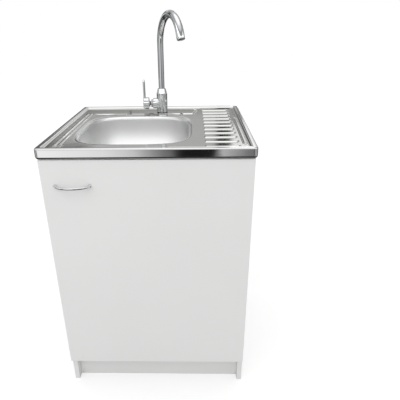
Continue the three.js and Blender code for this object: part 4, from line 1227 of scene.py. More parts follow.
    def bowl_ring(self, angle: Array, inset: float, z: float) -> Array:
        """Ring of the bowl's wall or floor; the rear wall leans in more towards its foot.

        Args:
            angle: directions from the bowl's middle.
            inset: distance drawn in from the mouth at the sides.
            z: the ring's height.

        Returns:
            Its points.
        """
        foot_inset = self.bowl_half - self.recess_radius
        wall_inset = self.lip + self.bowl_depth * math.tan(self.draft) + self.foot_radius
        share = min(max((inset - wall_inset) / (foot_inset - wall_inset), 0), 1)
        half_x = self.bowl_half - inset
        drawn = min(inset, wall_inset) - self.lip
        lean = self.far_wall_lean * min((self.field_top - z) / self.bowl_depth, 1) ** 2
        front, rear = self.wall_top[0] + drawn, self.wall_top[1] - drawn - lean
        middle = self.bowl_middle[1]
        reach = max(half_x, self.recess_radius) if share < 1 else half_x
        span = (front + (middle - reach - front) * share, rear + (middle + reach - rear) * share)
        return self._ring(angle, half_x, span, z, self.bowl_power + (2 - self.bowl_power) * share)

    # -- the deck --

    def _spread(self, start: float, end: float, marks: list) -> Array:
        """Places from start to end with a spacing that changes at marks.

        Args:
            start: the first place.
            end: the last place.
            marks: pairs of the place up to which a spacing holds, and the spacing.

        Returns:
            The places in order.
        """
        lines = [start]
        for limit, spacing in [*marks, (end, marks[-1][1])]:
            if limit > lines[-1]:
                steps = max(1, round((limit - lines[-1]) / spacing))
                lines += list(np.linspace(lines[-1], limit, steps + 1)[1:])
        return np.array(lines)

    def _field(self) -> tuple[float, float, float]:
        """Half the field's width, and the places of its front and rear edges."""
        return self.width / 2 - self.field_inset, self.field_inset, self.depth - self.field_inset

    def _field_edges(self) -> tuple[Array, Array, Array, Array]:
        """Places of the grid lines along the field's four edges."""
        half, low, high = self._field()
        y_right = self.rib_lines()
        x_rear = self._spread(-half, self.split_x, [(-236.0, 3.5), (self.split_x, 2.4)])
        x_front = self._spread(-half, self.split_x, [(self.split_x, 7.0)])
        y_left = self._spread(low, high, [(40.0, 2.5), (440.0, 9.0), (484.0, 2.5), (high, 5.0)])
        return y_right, x_rear, x_front, y_left

    def _rim_outline(self, edge: Array, inset: float) -> Array:
        """The field's edge moved out to a given inset, with round corners.

        Args:
            edge: points of the field's edge in order, its four corners repeated for their arcs.
            inset: distance from the sink's outer edge.

        Returns:
            The points in X and Y.
        """
        share = 1 - inset / self.field_inset
        radius = self.band_corner * max(share, 0.0)
        half_x, half_y = self.width / 2 - inset, self.depth / 2 - inset
        x = edge[:, 0] / (self.width / 2 - self.field_inset)
        y = (edge[:, 1] - self.depth / 2) / (self.depth / 2 - self.field_inset)
        out = np.column_stack([x * (half_x - radius), y * (half_y - radius)])
        turn = edge[:, 2]
        out[:, 0] = np.where(np.isnan(turn) & (np.abs(x) > 1 - 1e-9), np.sign(x) * half_x, out[:, 0])
        out[:, 1] = np.where(np.isnan(turn) & (np.abs(y) > 1 - 1e-9), np.sign(y) * half_y, out[:, 1])
        arcs = ~np.isnan(turn)
        out[arcs, 0] += radius * np.cos(turn[arcs])
        out[arcs, 1] += radius * np.sin(turn[arcs])
        out[:, 1] += self.depth / 2
        return out

    def _field_loop(self, edges: tuple) -> Array:
        """The field's edge as one loop, counter-clockwise, each corner repeated with the angle of its arc."""
        y_right, x_rear, x_front, y_left = edges
        half, low, high = self._field()
        x_drain = self.drainer_lines()
        front = np.concatenate([x_front, x_drain[1:]])
        rear = np.concatenate([x_rear, x_drain[1:]])[::-1]
        sides = [
            places(front, low), places(half, y_right), places(rear, high), places(-half, y_left[::-1]),
        ]
        loop = []
        for i, side in enumerate(sides):
            loop += [(x, y, math.nan) for x, y in side[1:-1]]
            x, y = side[-1]
            for step in range(9):
                loop.append((x, y, math.radians(-90 + 90 * i + 90 * step / 8)))
        return np.array(loop)

    def rib_lines(self) -> Array:
        """Places of the grid lines along the drainer, close on the ribs' flanks and wide between them."""
        _, low, high = self._field()
        crest = self.rib_half - self.rib_flank
        flank = np.linspace(crest, self.rib_half, 6)
        valley = np.linspace(self.rib_half + 0.6, self.rib_pitch / 2, 6)
        half = np.concatenate([[crest * 0.45, crest - 0.6], flank, valley])
        offsets = np.concatenate([-half[::-1], half[:-1]])
        middles = self.rib_first + self.rib_pitch * np.arange(self.rib_count)
        lines = (middles[:, None] + offsets[None, :]).ravel()
        lines = lines[(lines > low + 0.6) & (lines < high - 0.6)]
        return np.concatenate([[low], lines, [high]])

    def drainer_lines(self) -> Array:
        """Places of the grid lines across the drainer, closer at the ends of the ribs and at the bead."""
        right = self._field()[0]
        marks = [(166.0, 0.8), (242.0, 7.0), (259.0, 1.2), (266.0, 3.0), (right, 1.0)]
        return self._spread(self.split_x, right, marks)

    def build_deck(self) -> None:
        """Makes the deck from the band round to the lip of the bowl."""
        skin = Skin()
        edges = self._field_edges()
        y_right, x_rear, x_front, y_left = edges
        half, low, high = self._field()
        middle = np.array([self.bowl_middle[0], sum(self.mouth) / 2])

        bounds = np.vstack([
            places(self.split_x, y_right)[:-1],
            places(x_rear[::-1], high)[:-1],
            places(-half, y_left[::-1])[:-1],
            places(x_front, low)[:-1],
        ])
        away = bounds - middle
        angle = np.arctan2(away[:, 1], away[:, 0])
        mouth = self.lip_ring(angle, 0)[:, :2]
        shares = np.concatenate([
            np.linspace(0, 0.12, 5)[:-1], np.linspace(0.12, 0.32, 14)[:-1],
            np.linspace(0.32, 0.62, 12)[:-1], np.linspace(0.62, 1, 10),
        ])
        rows = []
        for t in shares[::-1]:
            plan = mouth + (bounds - mouth) * t
            rows.append(np.column_stack([plan, self.height(plan[:, 0], plan[:, 1])]))
        rows += [self.lip_ring(angle, math.pi / 2 * step / self.lip_steps) for step in range(1, self.lip_steps + 1)]
        skin.rows(np.array(rows[:-self.weld_steps]), True, False, 0)
        skin.rows(np.array(rows[-self.weld_steps - 1:]), True, False, 2)

        x_drain = self.drainer_lines()
        grid_x, grid_y = np.meshgrid(x_drain, y_right)
        drainer = np.stack([grid_x, grid_y, self.height(grid_x, grid_y)], axis=-1)
        skin.rows(drainer, False, False, 0)

        loop = self._field_loop(edges)
        inner = self.height(loop[:, 0], loop[:, 1])
        levels = []
        for share in np.linspace(0, 1, self.slope_steps + 1):
            inset = self.field_inset + (self.slope_top - self.field_inset) * share
            levels.append((inset, inner + (self.top - inner) * smoothstep(share)))
        flat = np.full(len(loop), self.top)
        levels += [(self.crest_inset, flat), (self.band_edge, flat)]
        turns = [math.pi / 2 * step / self.edge_steps for step in range(1, self.edge_steps + 1)]
        for turn in turns:
            inset = self.band_edge * (1 - math.sin(turn))
            levels.append((inset, flat - self.band_edge * (1 - math.cos(turn))))
        for z in (*self.band_lines, self.band_bottom + self.band_foot_height):
            levels.append((0.0, np.full(len(loop), z)))
        for turn in turns:
            z = self.band_bottom + self.band_foot_height * (1 - math.sin(turn))
            levels.append((self.band_foot * (1 - math.cos(turn)), np.full(len(loop), z)))
        levels.append((self.flange, np.full(len(loop), self.band_bottom)))
        rings = np.array([np.column_stack([self._rim_outline(loop, inset), z]) for inset, z in levels])
        skin.rows(rings[:self.slope_steps], True, False, 0)
        skin.rows(rings[self.slope_steps - 1:], True, False, 1)

        deck = skin.to_object("sink_top", False, self.deck_crease)
        self._face_up(deck)
        thickened(deck, self.sheet, self.deck_crease)
        x, y, radius = self.tap_hole
        hole = pin((x, y, self.field_top - 10), (x, y, self.top + 10), radius, 48)
        trimmed(deck, cut=[hole], crease=self.deck_crease)
        finished(deck, self.finishes.deck_steel, Body.UNIT, "sink_deck")

    def _face_up(self, piece: Object) -> None:
        """Turns an open sheet's faces so that the largest share of them looks up.

        Args:
            piece: the sheet.
        """
        form = bmesh.new()
        form.from_mesh(piece.data)
        bmesh.ops.recalc_face_normals(form, faces=form.faces)
        if sum(face.normal.z * face.calc_area() for face in form.faces) < 0:
            bmesh.ops.reverse_faces(form, faces=form.faces)
        form.to_mesh(piece.data)
        form.free()
        shade(piece.data, self.deck_crease)

    # -- the bowl --

    def _bowl_path(self) -> list[tuple[float, float]]:
        """Insets and heights from the collar down the wall to the drain hole."""
        floor = self.field_top - self.bowl_depth
        wall_top = self.field_top - self.lip - self.collar
        wall_foot = floor + self.foot_radius * (1 - math.sin(self.draft))

        def inset_at(z: float) -> float:
            """Inset of the leaning wall at a height."""
            return self.lip + (self.field_top - self.lip - z) * math.tan(self.draft)

        centre = inset_at(wall_foot) + self.foot_radius * math.cos(self.draft)
        path = [(inset_at(z), z) for z in np.linspace(wall_top, wall_foot, 9)]
        for degrees in np.linspace(*self.foot_arc, 15)[1:]:
            turn = math.radians(degrees)
            path.append((
                centre + self.foot_radius * math.cos(turn),
                floor + self.foot_radius + self.foot_radius * math.sin(turn),
            ))
        start = path[-1]
        recess = self.bowl_half - self.recess_radius
        edge_z = floor - self.floor_fall
        for share in np.linspace(0, 1, 13)[1:-1]:
            path.append((start[0] + (recess - start[0]) * share, start[1] + (edge_z - start[1]) * share))
        recess_floor = edge_z - self.recess_depth
        corner = eased(
            [path[-1], (recess, edge_z), (recess + self.recess_depth, recess_floor),
             (self.bowl_half - self.drain_hole, recess_floor)],
            2.4, 3,
        )
        return path[:-1] + [tuple(p) for p in corner]

    def build_bowl(self) -> None:
        """Makes the deep-drawn bowl with its drain hole and overflow hole."""
        angle = np.linspace(0, FULL_TURN, self.bowl_sides, endpoint=False)
        rows = [self.bowl_ring(angle, inset, z) for inset, z in self._bowl_path()]
        bowl = Skin().rows(np.array(rows), True, False).to_object("sink_bowl_drawn", False, self.bowl_crease)
        self._face_up(bowl)
        thickened(bowl, self.sheet, self.bowl_crease)
        stand = Stand(self.overflow_place, (math.cos(self.draft), 0, -math.sin(self.draft)), (0, 1, 0))
        trimmed(bowl, cut=[cutter(rounded_box(23, 12, 6), -12, 12, stand)], crease=self.bowl_crease)
        finished(bowl, self.finishes.bowl_steel, Body.UNIT, "sink_bowl")

    def build_clips(self) -> None:
        """Dresses the four clips below the flange."""
        for side in Side:
            for place in ("front", "rear"):
                node = f"sink_clip_{side.value}_{place}"
                dressed(node, f"{node}_bent", 0.35, self.finishes.zinc, Body.UNIT)

    def build(self) -> None:
        """Makes and dresses the whole sink top."""
        self.build_deck()
        self.build_bowl()
        self.build_clips()


# --- Cabinet and door ---


@dataclass
class Cabinet:
    """The base cabinet: laminated boards with eased edges and the thin back."""

    finishes: Finishes
    edge: float = 0.5
    boards: tuple = (
        "side_panel_left", "side_panel_right", "bottom_panel", "plinth_board", "front_rail", "rear_rail",
    )

    def build(self) -> None:
        """Makes and dresses the boards."""
        for node in self.boards:
            dressed(node, f"{node}_board", self.edge, self.finishes.laminate, Body.UNIT)
        dressed("back_panel", "back_panel_board", 0.3, self.finishes.hardboard, Body.UNIT, 1)


@dataclass
class Door:
    """The door with its bow handle, the handle's screws and the cup hinges."""

    finishes: Finishes
    edge: float = 1.0
    handle_x: float = -208.0
    handle_z: float = 743.0
    centres: float = 96.0
    reach: float = 25.7
    bow_radius: float = 3.8
    foot_radius: float = 5.5
    foot_height: float = 3.0
    face: float = 6.7
    board_back: float = 23.0

    def build_panel(self) -> None:
        """Dresses the door board."""
        dressed("door_panel", "door_board", self.edge, self.finishes.laminate, Body.DOOR, 3)

    def build_handle(self) -> None:
        """Makes the bow handle: half an ellipse in plan that grows out of two round feet."""
        angle = np.linspace(0.0, math.pi, 65)
        half = self.centres / 2
        centres = np.column_stack([
            self.handle_x - half * np.cos(angle),
            self.face - self.reach * np.sin(angle),
            np.full(len(angle), self.handle_z),
        ])
        swell = 1 + 0.10 * (1 - np.sin(angle)) ** 3
        bow = swept(centres, self.bow_radius * swell, (0, 0, 1), 28).to_object("door_bow", True, 50.0)
        feet = []
        for side in (-1, 1):
            stand = Stand((self.handle_x + side * half, self.face, self.handle_z), (0, -1, 0), (1, 0, 0))
            r, h = self.foot_radius, self.foot_height
            profile = eased([(0, 0), (r, 0), (r, h * 0.55), (self.bow_radius + 0.4, h + 1.4), (0, h + 1.4)], 1.0, 3)
            feet.append(turned(profile, stand, 40))
        behind = block(
            (self.handle_x - 90, self.handle_x + 90), (self.face, self.face + 20),
            (self.handle_z - 20, self.handle_z + 20),
        )
        holes = []
        for side in (-1, 1):
            x = self.handle_x + side * half
            holes.append(pin((x, self.face - 6.3, self.handle_z), (x, self.face + 1, self.handle_z), 2.3, 24))
        trimmed(bow, feet, [behind, *holes], 45.0)
        finished(bow, self.finishes.chrome, Body.DOOR, "door_handle")

    def build_screws(self) -> None:
        """Makes the two screws behind the handle, with cross recesses."""
        for side in Side:
            x = self.handle_x + (-1 if side is Side.LEFT else 1) * self.centres / 2
            stand = Stand((x, self.face - 6, self.handle_z), (0, 1, 0), (1, 0, 0))
            head = self.board_back + 0.3 - (self.face - 6)
            profile = eased(
                [(0, 0), (1.4, 0), (2, 0.8), (2, head), (4, head), (4, head + 0.9), (2.6, head + 2), (0, head + 2)],
                0.5, 2,
            )
            screw = turned(profile, stand, 32, f"bow_screw_{side.value}")
            y, z = self.board_back + 2.3, self.handle_z
            cross = [
                block((x - 1.7, x + 1.7), (y - 0.9, y + 1), (z - 0.4, z + 0.4)),
                block((x - 0.4, x + 0.4), (y - 0.9, y + 1), (z - 1.7, z + 1.7)),
            ]
            trimmed(screw, cut=cross)
            finished(screw, self.finishes.zinc, Body.DOOR, f"handle_screw_{side.value}")

    def build_hinges(self) -> None:
        """Dresses the cups, pins, arms and plates of both hinges."""
        for place in ("upper", "lower"):
            for part, body in (("cup", Body.DOOR), ("pin", Body.DOOR), ("arm", Body.UNIT), ("plate", Body.UNIT)):
                node = f"hinge_{part}_{place}"
                width = 0.2 if body is Body.DOOR else 0.35
                dressed(node, f"{node}_pressed", width, self.finishes.zinc, body)

    def build(self) -> None:
        """Makes and dresses the door."""
        self.build_panel()
        self.build_handle()
        self.build_screws()
        self.build_hinges()


# --- Tap ---


@dataclass
class Tap:
    """The single-lever tap with its swan-neck spout, and what holds it below the platform."""

    finishes: Finishes
    threads: ThreadRidge
    foot: tuple = (15.0, 485.0, 851.1)
    body_radius: float = 19.0
    body_height: float = 82.0
    shoulder: float = 17.0
    neck: float = 13.4
    lever_height: float = 30.0
    housing_radius: float = 18.5
    housing_reach: float = 32.0
    spout_radius: float = 10.4
    mouth_radius: float = 13.2
    wall: float = 1.6
    straight: float = 147.4
    arc_radius: float = 90.0
    arc: float = math.radians(158)
    tail: float = 14.0
    turn: float = math.radians(25)
    cartridge_radius: float = 14.5
    neck_end: float = -39.3
    pivot: float = -51.6
    ball_radius: float = 12.0
    cap_radius: float = 21.0
    cap_wall: float = 2.5
    cap_depth: float = 19.5
    cap_skirt: float = 4.2
    blade_width: float = 16.0
    blade_tip: float = 82.0
    blade_thickness: float = 7.0
    shank_radius: float = 13.5
    platform_top: float = 849.0

    def _at(self, x: float, y: float, z: float) -> tuple:
        """A place given from the tap's foot."""
        return (self.foot[0] + x, self.foot[1] + y, self.foot[2] + z)

    def _lever_stand(self) -> Stand:
        """The lever's axis, with Z out of the body to the left."""
        return Stand(self._at(0, 0, self.lever_height), (-1, 0, 0), (0, 1, 0))

    def build_body(self) -> None:
        """Makes the body with its conical shoulder and the side housing."""
        r, h = self.body_radius, self.body_height
        shoulder = h - self.shoulder
        profile = eased(
            [(0, 0), (r - 0.4, 0), (r, 0.6), (r, shoulder), (self.neck + 1.5, h - 2.4),
             (self.neck + 0.9, h), (0, h)],
            1.5, 4,
        )
        body = turned(profile, Stand(self.foot), 72, "tap_barrel")
        stand = self._lever_stand()
        reach, radius = self.housing_reach, self.housing_radius
        side = eased([(0, 0), (radius, 0), (radius, reach - 1.2), (radius - 1.2, reach), (0, reach)], 1.0, 3)
        housing = turned(side, stand, 72)
        cuts = [
            pin(self._at(-reach + 8, 0, self.lever_height), self._at(-reach - 1, 0, self.lever_height), 14.8),
            pin(self._at(0, 0, h - 24), self._at(0, 0, h + 1), self.spout_radius + 0.3, 64),
            pin(self._at(0, 0, -1), self._at(0, 0, 10), self.shank_radius - 3),
        ]
        trimmed(body, [housing], cuts, 35.0)
        finished(body, self.finishes.chrome, Body.UNIT, "tap_body")

    def spout_places(self, steps: int = 56) -> tuple[Array, Array]:
        """The spout's centre line from its socket to its mouth.

        Args:
            steps: segments along the arc.

        Returns:
            The points in the unit's frame and the radius at each.
        """
        base = self.body_height - 23.7
        top = self.body_height + self.straight
        path = [(0.0, z) for z in np.linspace(base, top, 10)]
        radii = [self.spout_radius] * len(path)
        for step in range(1, steps + 1):
            turn = self.arc * step / steps
            path.append((self.arc_radius * (1 - math.cos(turn)), top + self.arc_radius * math.sin(turn)))
            radii.append(self.spout_radius + (self.mouth_radius - self.spout_radius) * step / steps)
        out, up = math.sin(self.arc), math.cos(self.arc)
        for run in np.linspace(0, self.tail, 5)[1:]:
            path.append((path[9 + steps][0] + out * run, path[9 + steps][1] + up * run))
            radii.append(self.mouth_radius)
        ahead = np.array([math.sin(self.turn), -math.cos(self.turn), 0])
        centres = [np.array(self.foot) + ahead * out + np.array([0, 0, up]) for out, up in path]
        return np.array(centres), np.array(radii)

    def build_spout(self) -> None:
        """Makes the swan-neck spout, a tube that widens along its arc."""
        centres, radii = self.spout_places()
        side = (math.cos(self.turn), math.sin(self.turn), 0)
        tube = swept(centres, chamfered(radii, 0.3), side, 48, radii - self.wall)
        finished(tube.to_object("tap_swan_neck", True, 50.0), self.finishes.chrome, Body.SPOUT, "tap_spout")

    def build_aerator(self) -> None:
        """Makes the aerator with its knurled rim and its mesh of bars."""
        centres, _ = self.spout_places()
        along = centres[-1] - centres[-2]
        stand = Stand(tuple(centres[-1]), tuple(along), (math.cos(self.turn), math.sin(self.turn), 0))
        bore = self.mouth_radius - self.wall - 0.3
        profile = eased(
            [(bore, -10), (bore, 0.3), (self.mouth_radius - 0.3, 0.3), (self.mouth_radius - 0.3, 2.2),
             (self.mouth_radius - 1.4, 3), (bore - 1.2, 3), (bore - 2, 2), (bore - 2, -10)],
            0.4, 2, True,
        )
        ring = turned(profile, stand, 48, "tap_aerator_ring", True)
        skin = Skin()
        for offset in np.arange(-8, 8.1, 2.0):
            half = math.sqrt(max((bore - 1.5) ** 2 - offset**2, 0))
            near, far = offset - 0.35, offset + 0.35
            bar = [(-half, near), (half, near), (half, far), (-half, far)]
            skin.prism(bar, 0.0, 0.9, stand)
            skin.prism([(-y, x) for x, y in bar], 0.2, 1.1, stand)
        join(ring, skin.to_object("helper"))
        finished(ring, self.finishes.chrome, Body.SPOUT, "tap_aerator")

    def build_lever(self) -> None:
        """Makes the lever: a cap over the ball and a blade that stands up from it."""
        stand = self._lever_stand()
        open_end = -(self.pivot + self.cap_skirt)
        face = open_end + self.cap_depth
        r, bore = self.cap_radius, self.cap_radius - self.cap_wall
        profile = eased(
            [(0, face), (r - 2.2, face), (r, face - 2.0), (r, open_end), (bore, open_end),
             (bore, face - self.cap_wall), (0, face - self.cap_wall)],
            1.4, 4,
        )
        cap = turned(profile, stand, 72, "tap_lever_cap")
        half = self.blade_width / 2
        root, tip = half + 1.5, self.blade_tip - half
        turns = np.linspace(0, math.pi, 17)
        arc = places(half * np.cos(turns), tip + half * np.sin(turns))
        y, z = np.vstack([[(root, r - 8), (half, r + 8)], arc, [(-half, r + 8), (-root, r - 8)]]).T
        back = face - self.blade_thickness
        sections = []
        for x, inset in (
            (face, 1.4), (face - 0.6, 0.4), (face - 1.8, 0), (back + 2.2, 0), (back + 0.7, 0.5), (back, 1.8),
        ):
            scale = (half - inset) / half
            side = np.clip(y, inset - root, root - inset) * (1 - inset / root)
            rim = places(np.where(z > tip, y * scale, side), np.where(z > tip, tip + (z - tip) * scale, z))
            sections.append(np.array(self._at(0, 0, self.lever_height)) + np.insert(rim, 0, -x, axis=1))
        skin = Skin().rows(np.array(sections))
        skin.lid(sections[0][::-1])
        skin.lid(sections[-1])
        blade = skin.to_object("helper")
        hollow = pin(
            self._at(-(face - self.cap_wall), 0, self.lever_height),
            self._at(-open_end + 1, 0, self.lever_height), bore - 0.01, 72,
        )
        stubs = []
        for side in (-1, 1):
            start = self._at(self.pivot, side * (self.ball_radius - 2.5), self.lever_height)
            end = self._at(self.pivot, side * (bore + 1), self.lever_height)
            stubs.append(pin(start, end, 2.0, 24))
        trimmed(cap, [blade], [hollow], 35.0)
        trimmed(cap, stubs, [], 35.0)
        finished(cap, self.finishes.chrome, Body.LEVER, "tap_lever")

    def build_cartridge(self) -> None:
        """Makes the cartridge's neck and the ball that the lever turns on."""
        stand = self._lever_stand()
        start, end = 24.3, -self.neck_end
        r = self.cartridge_radius
        profile = eased(
            [(0, start), (r, start), (r, end - 4), (r - 1.5, end - 3), (r - 1.5, end), (6, end), (6, end + 2),
             (0, end + 2)],
            0.5, 2,
        )
        neck = turned(profile, stand, 56, "tap_cartridge_neck")
        finished(neck, self.finishes.zinc, Body.UNIT, "tap_cartridge")
        ball_stand = Stand(self._at(self.pivot, 0, self.lever_height), (1, 0, 0), (0, 1, 0))
        turns = np.linspace(-math.pi / 2, math.pi / 2, 29)
        round_profile = np.column_stack([self.ball_radius * np.cos(turns), self.ball_radius * np.sin(turns)])
        ball = turned(round_profile, ball_stand, 56, "tap_ball_joint")
        cuts = [pin(self._at(self.neck_end + 1, 0, 30), self._at(self.neck_end - 2.3, 0, 30), 6.3, 32)]
        for side in (-1, 1):
            inner = self._at(self.pivot, side * (self.ball_radius - 3), 30)
            cuts.append(pin(inner, self._at(self.pivot, side * 20, 30), 2.3, 24))
        trimmed(ball, cut=cuts)
        finished(ball, self.finishes.zinc, Body.TURNER, "tap_ball")

    def build_fixing(self) -> None:
        """Makes the seal, the threaded shank, the washer and the nut."""
        foot = Stand(self.foot)
        seal = turned(washer(15, 18.8, -1.8, -0.3, 0.4), foot, 64, "tap_seal", True)
        finished(seal, self.finishes.rubber, Body.UNIT, "tap_gasket")
        r = self.shank_radius
        core = r - 0.8
        profile = [
            (10.5, -46), (core - 0.4, -46), (core, -45.6), (core, -9.4), (r, -8.8), (r, -0.3),
            (10.2, -0.3), (10.2, 9), (7.2, 9), (7.2, -6), (10.5, -9),
        ]
        screwed = Skin().lathe(profile, foot, 48)
        screwed.take(*self.threads.wind((core, 0.76), (-44.8, -10.3), 1.5, foot, self.finishes.zinc))
        shank = screwed.to_object("tap_threaded_shank", True, 25.0)
        finished(shank, self.finishes.zinc, Body.UNIT, "tap_shank")
        under = self.platform_top - 1 - self.foot[2] - CLEARANCE
        ring = turned(washer(r + CLEARANCE, 21, under - 3, under, 0.6), foot, 56, "tap_washer_ring", True)
        finished(ring, self.finishes.rubber, Body.UNIT, "tap_washer")
        dressed("tap_nut", "tap_backnut", 0.6, self.finishes.zinc, Body.UNIT)

    def build(self) -> None:
        """Makes and dresses the tap."""
        self.build_body()
        self.build_spout()
        self.build_aerator()
        self.build_lever()
        self.build_cartridge()
        self.build_fixing()


def join(piece: Object, other: Object) -> None:
    """Adds another object's faces to a piece and deletes the other.

    Args:
        piece: the piece.
        other: the object that is added.
    """
    form = bmesh.new()
    form.from_mesh(piece.data)
    form.from_mesh(other.data)
    form.to_mesh(piece.data)
    form.free()
    remove(other)
    piece.data.update()


# --- Waste kit ---


@dataclass
class UnionNut:
    """A plastic union nut with grip ribs and a lip that turns in over the pipe."""

    radius: float
    bore: float
    lip_bore: float
    height: float
    ribs: int
    lip: float = 4.0

    def build(self, name: str, stand: Stand, details: RingOfDetails, finish: bpy.types.Material) -> object:
        """Makes the nut.

        Args:
            name: the piece's name.
            stand: its axis, with Z from the open end to the lip.
            details: the tree that sets the ribs round it.
            finish: its material.

        Returns:
            The object, not yet on a body.
        """
        r, h = self.radius, self.height
        profile = eased(
            [(self.bore, 0), (r - 1.2, 0), (r, 1.2), (r, h - 3.2), (r - 3, h), (self.lip_bore, h),
             (self.lip_bore, h - self.lip), (self.bore, h - self.lip)],
            0.9, 3, True,
        )
        skin = Skin().lathe(profile, stand, 64)
        if self.ribs:
            bar = rounded_bar((1.2, 3.0, h - 6.0), 0.5)
            skin.take(*details.set_round(bar, self.ribs, r, stand.moved(h / 2 - 1), finish))
        return skin.to_object(name, True, 35.0)


@dataclass
class Waste:
    """The waste kit: strainer, plug, body, trap and the pipe to the wall."""

    finishes: Finishes
    details: RingOfDetails
    axis: tuple = (-53.0, 238.0)
    recess_floor: float = 677.0
    body_top: float = 672.4
    strainer_radius: float = 37.5
    cup_radius: float = 24.2
    cup_depth: float = 9.0
    strainer_sheet: float = 1.4
    pipe_radius: float = 20.0
    pipe_wall: float = 2.0
    pipe_top: float = 614.4
    pipe_bottom: float = 472.4
    spigot_root: float = 565.4
    spigot_tilt: float = math.radians(21)
    spigot_length: float = 58.0
    spigot_radius: float = 11.0
    cap_z: float = 545.4
    wing_foot: float = 471.4
    trap_centre: float = 449.4
    trap_centres: float = 78.0
    trap_turn: float = math.radians(52)
    slip_foot: float = 447.4
    outlet_z: float = 501.4
    outlet_end: float = 594.0
    elbow: float = 31.0

    def _drain(self, z: float) -> Stand:
        """The drain's vertical axis at a height."""
        return Stand((self.axis[0], self.axis[1], z))

    def build_strainer(self) -> None:
        """Makes the chrome strainer: a dished rim, a cup and a cross in its floor."""
        r, mouth, thick = self.strainer_radius, self.cup_radius, self.strainer_sheet
        floor = -self.cup_depth
        profile = eased(
            [(r, 0.3), (r, 0.9), (r - 2.0, 1.7), (mouth + 2.2, 1.7), (mouth, 0.4), (mouth - 1, floor + thick),
             (3.3, floor + thick), (3.3, floor), (mouth + 0.2, floor), (mouth + thick, 0.3)],
            0.9, 3, True,
        )
        strainer = turned(profile, self._drain(self.recess_floor), 96, "drain_strainer_cup", True)
        cuts = []
        for quarter in range(4):
            outline = []
            for degrees in np.linspace(14, 76, 13):
                turn = math.radians(degrees + 90 * quarter)
                outline.append((20 * math.cos(turn), 20 * math.sin(turn)))
            for degrees in np.linspace(62, 28, 7):
                turn = math.radians(degrees + 90 * quarter)
                outline.append((7.6 * math.cos(turn), 7.6 * math.sin(turn)))
            cuts.append(cutter(outline, floor - 2, floor + 4, self._drain(self.recess_floor)))
        trimmed(strainer, cut=cuts, crease=35.0)
        finished(strainer, self.finishes.chrome, Body.UNIT, "drain_strainer")

    def build_body(self) -> None:
        """Makes the gasket, the plastic body with its side tube, and the central screw."""
        gasket_stand = self._drain(self.recess_floor - 1.3)
        gasket = turned(washer(28, self.strainer_radius, -3, 0, 0.8, 3), gasket_stand, 72, "drain_seal", True)
        finished(gasket, self.finishes.rubber, Body.UNIT, "drain_gasket")
        outer_profile = eased(
            [(0, 0), (37.5, 0), (37.5, -3.2), (31.5, -4.4), (30.5, -40.2), (24.5, -54), (24.5, -58), (22.8, -59.4),
             (22.8, -73), (0, -73)],
            1.6, 4,
        )
        body = turned(outer_profile, self._drain(self.body_top), 72, "drain_cup_body")
        inner_profile = [
            (0, 1), (29, 1), (29, -3), (28, -38.2), (18, -52), (18, -57.7), (20.3, -57.7), (20.3, -74), (0, -74),
        ]
        hollow = turned(inner_profile, self._drain(self.body_top), 72)
        x, y = self.axis
        z = self.body_top - 20
        side = pin((x + 27, y, z), (x + 52, y, z), 14, 48)
        bore = pin((x + 5, y, z), (x + 53, y, z), 11.5, 48)
        trimmed(body, [side], [hollow, bore], 35.0)
        bridge = [
            block((x - 2, x + 2), (y - 29.2, y + 29.2), (self.body_top - 38, self.body_top - 30)),
            pin((x, y, self.body_top - 38), (x, y, self.body_top - 30), 6, 32),
        ]
        hole = pin((x, y, self.body_top - 39), (x, y, self.body_top - 29), 3.3, 24)
        trimmed(body, bridge, [hole], 35.0)
        finished(body, self.finishes.plastic, Body.UNIT, "drain_body")
        seat = self.recess_floor - self.cup_depth + self.strainer_sheet + CLEARANCE
        low = self.body_top - 37
        length = seat - low
        profile = [(0, 0), (2.2, 0)]
        for step in np.arange(1.0, length - 8, 1.2):
            profile += [(3.0, step), (2.5, step + 0.6)]
        profile += [
            (3.0, length - 6), (3.0, length), (5.5, length), (5.5, length + 1.2), (4.4, length + 2.6),
            (0, length + 2.6),
        ]
        screw = turned(profile, self._drain(low), 32, "drain_centre_screw", crease=25.0)
        slot_cut = block((x - 7, x + 7), (y - 0.6, y + 0.6), (seat + 1.5, seat + 4))
        trimmed(screw, cut=[slot_cut], crease=25.0)
        finished(screw, self.finishes.zinc, Body.UNIT, "drain_screw")

    def build_plug(self) -> None:
        """Makes the rubber plug with its stem and the ring through it."""
        rim = self.recess_floor + 2.0
        profile = eased(
            [(0, -5.5), (22.8, -5.5), (23.8, -1.4), (23.8, 0), (26.5, 0), (27.5, 1), (25.5, 4.5), (13, 8), (5, 10.5),
             (3.6, 12.5), (3.6, 16.6), (2.6, 18.5), (0, 18.5)],
            1.2, 3,
        )
        plug = turned(profile, self._drain(rim), 72, "drain_plug_moulded")
        x, y = self.axis
        eye = rim + 14.5
        trimmed(plug, cut=[pin((x - 10, y, eye), (x + 10, y, eye), 2.2, 32)])
        finished(plug, self.finishes.rubber, Body.PLUG, "drain_plug")
        ring = self._loop(9.0, 0.9, (x, y, eye + 9), 56, 16).to_object("plug_pull_ring")
        finished(ring, self.finishes.chrome, Body.PLUG, "plug_ring")

    def _loop(self, radius: float, wire: float, middle: tuple, sides: int, round_sides: int) -> Skin:
        """A ring of wire that stands in the XZ plane.

        Args:
            radius: the ring's radius.
            wire: the wire's radius.
            middle: the ring's middle.
            sides: sides round the ring.
            round_sides: sides round the wire.

        Returns:
            The ring.
        """
        turns = np.linspace(0, FULL_TURN, round_sides, endpoint=False)
        profile = np.column_stack([radius + wire * np.cos(turns), wire * np.sin(turns)])
        return Skin().lathe(profile, Stand(middle, (0, 1, 0), (1, 0, 0)), sides)

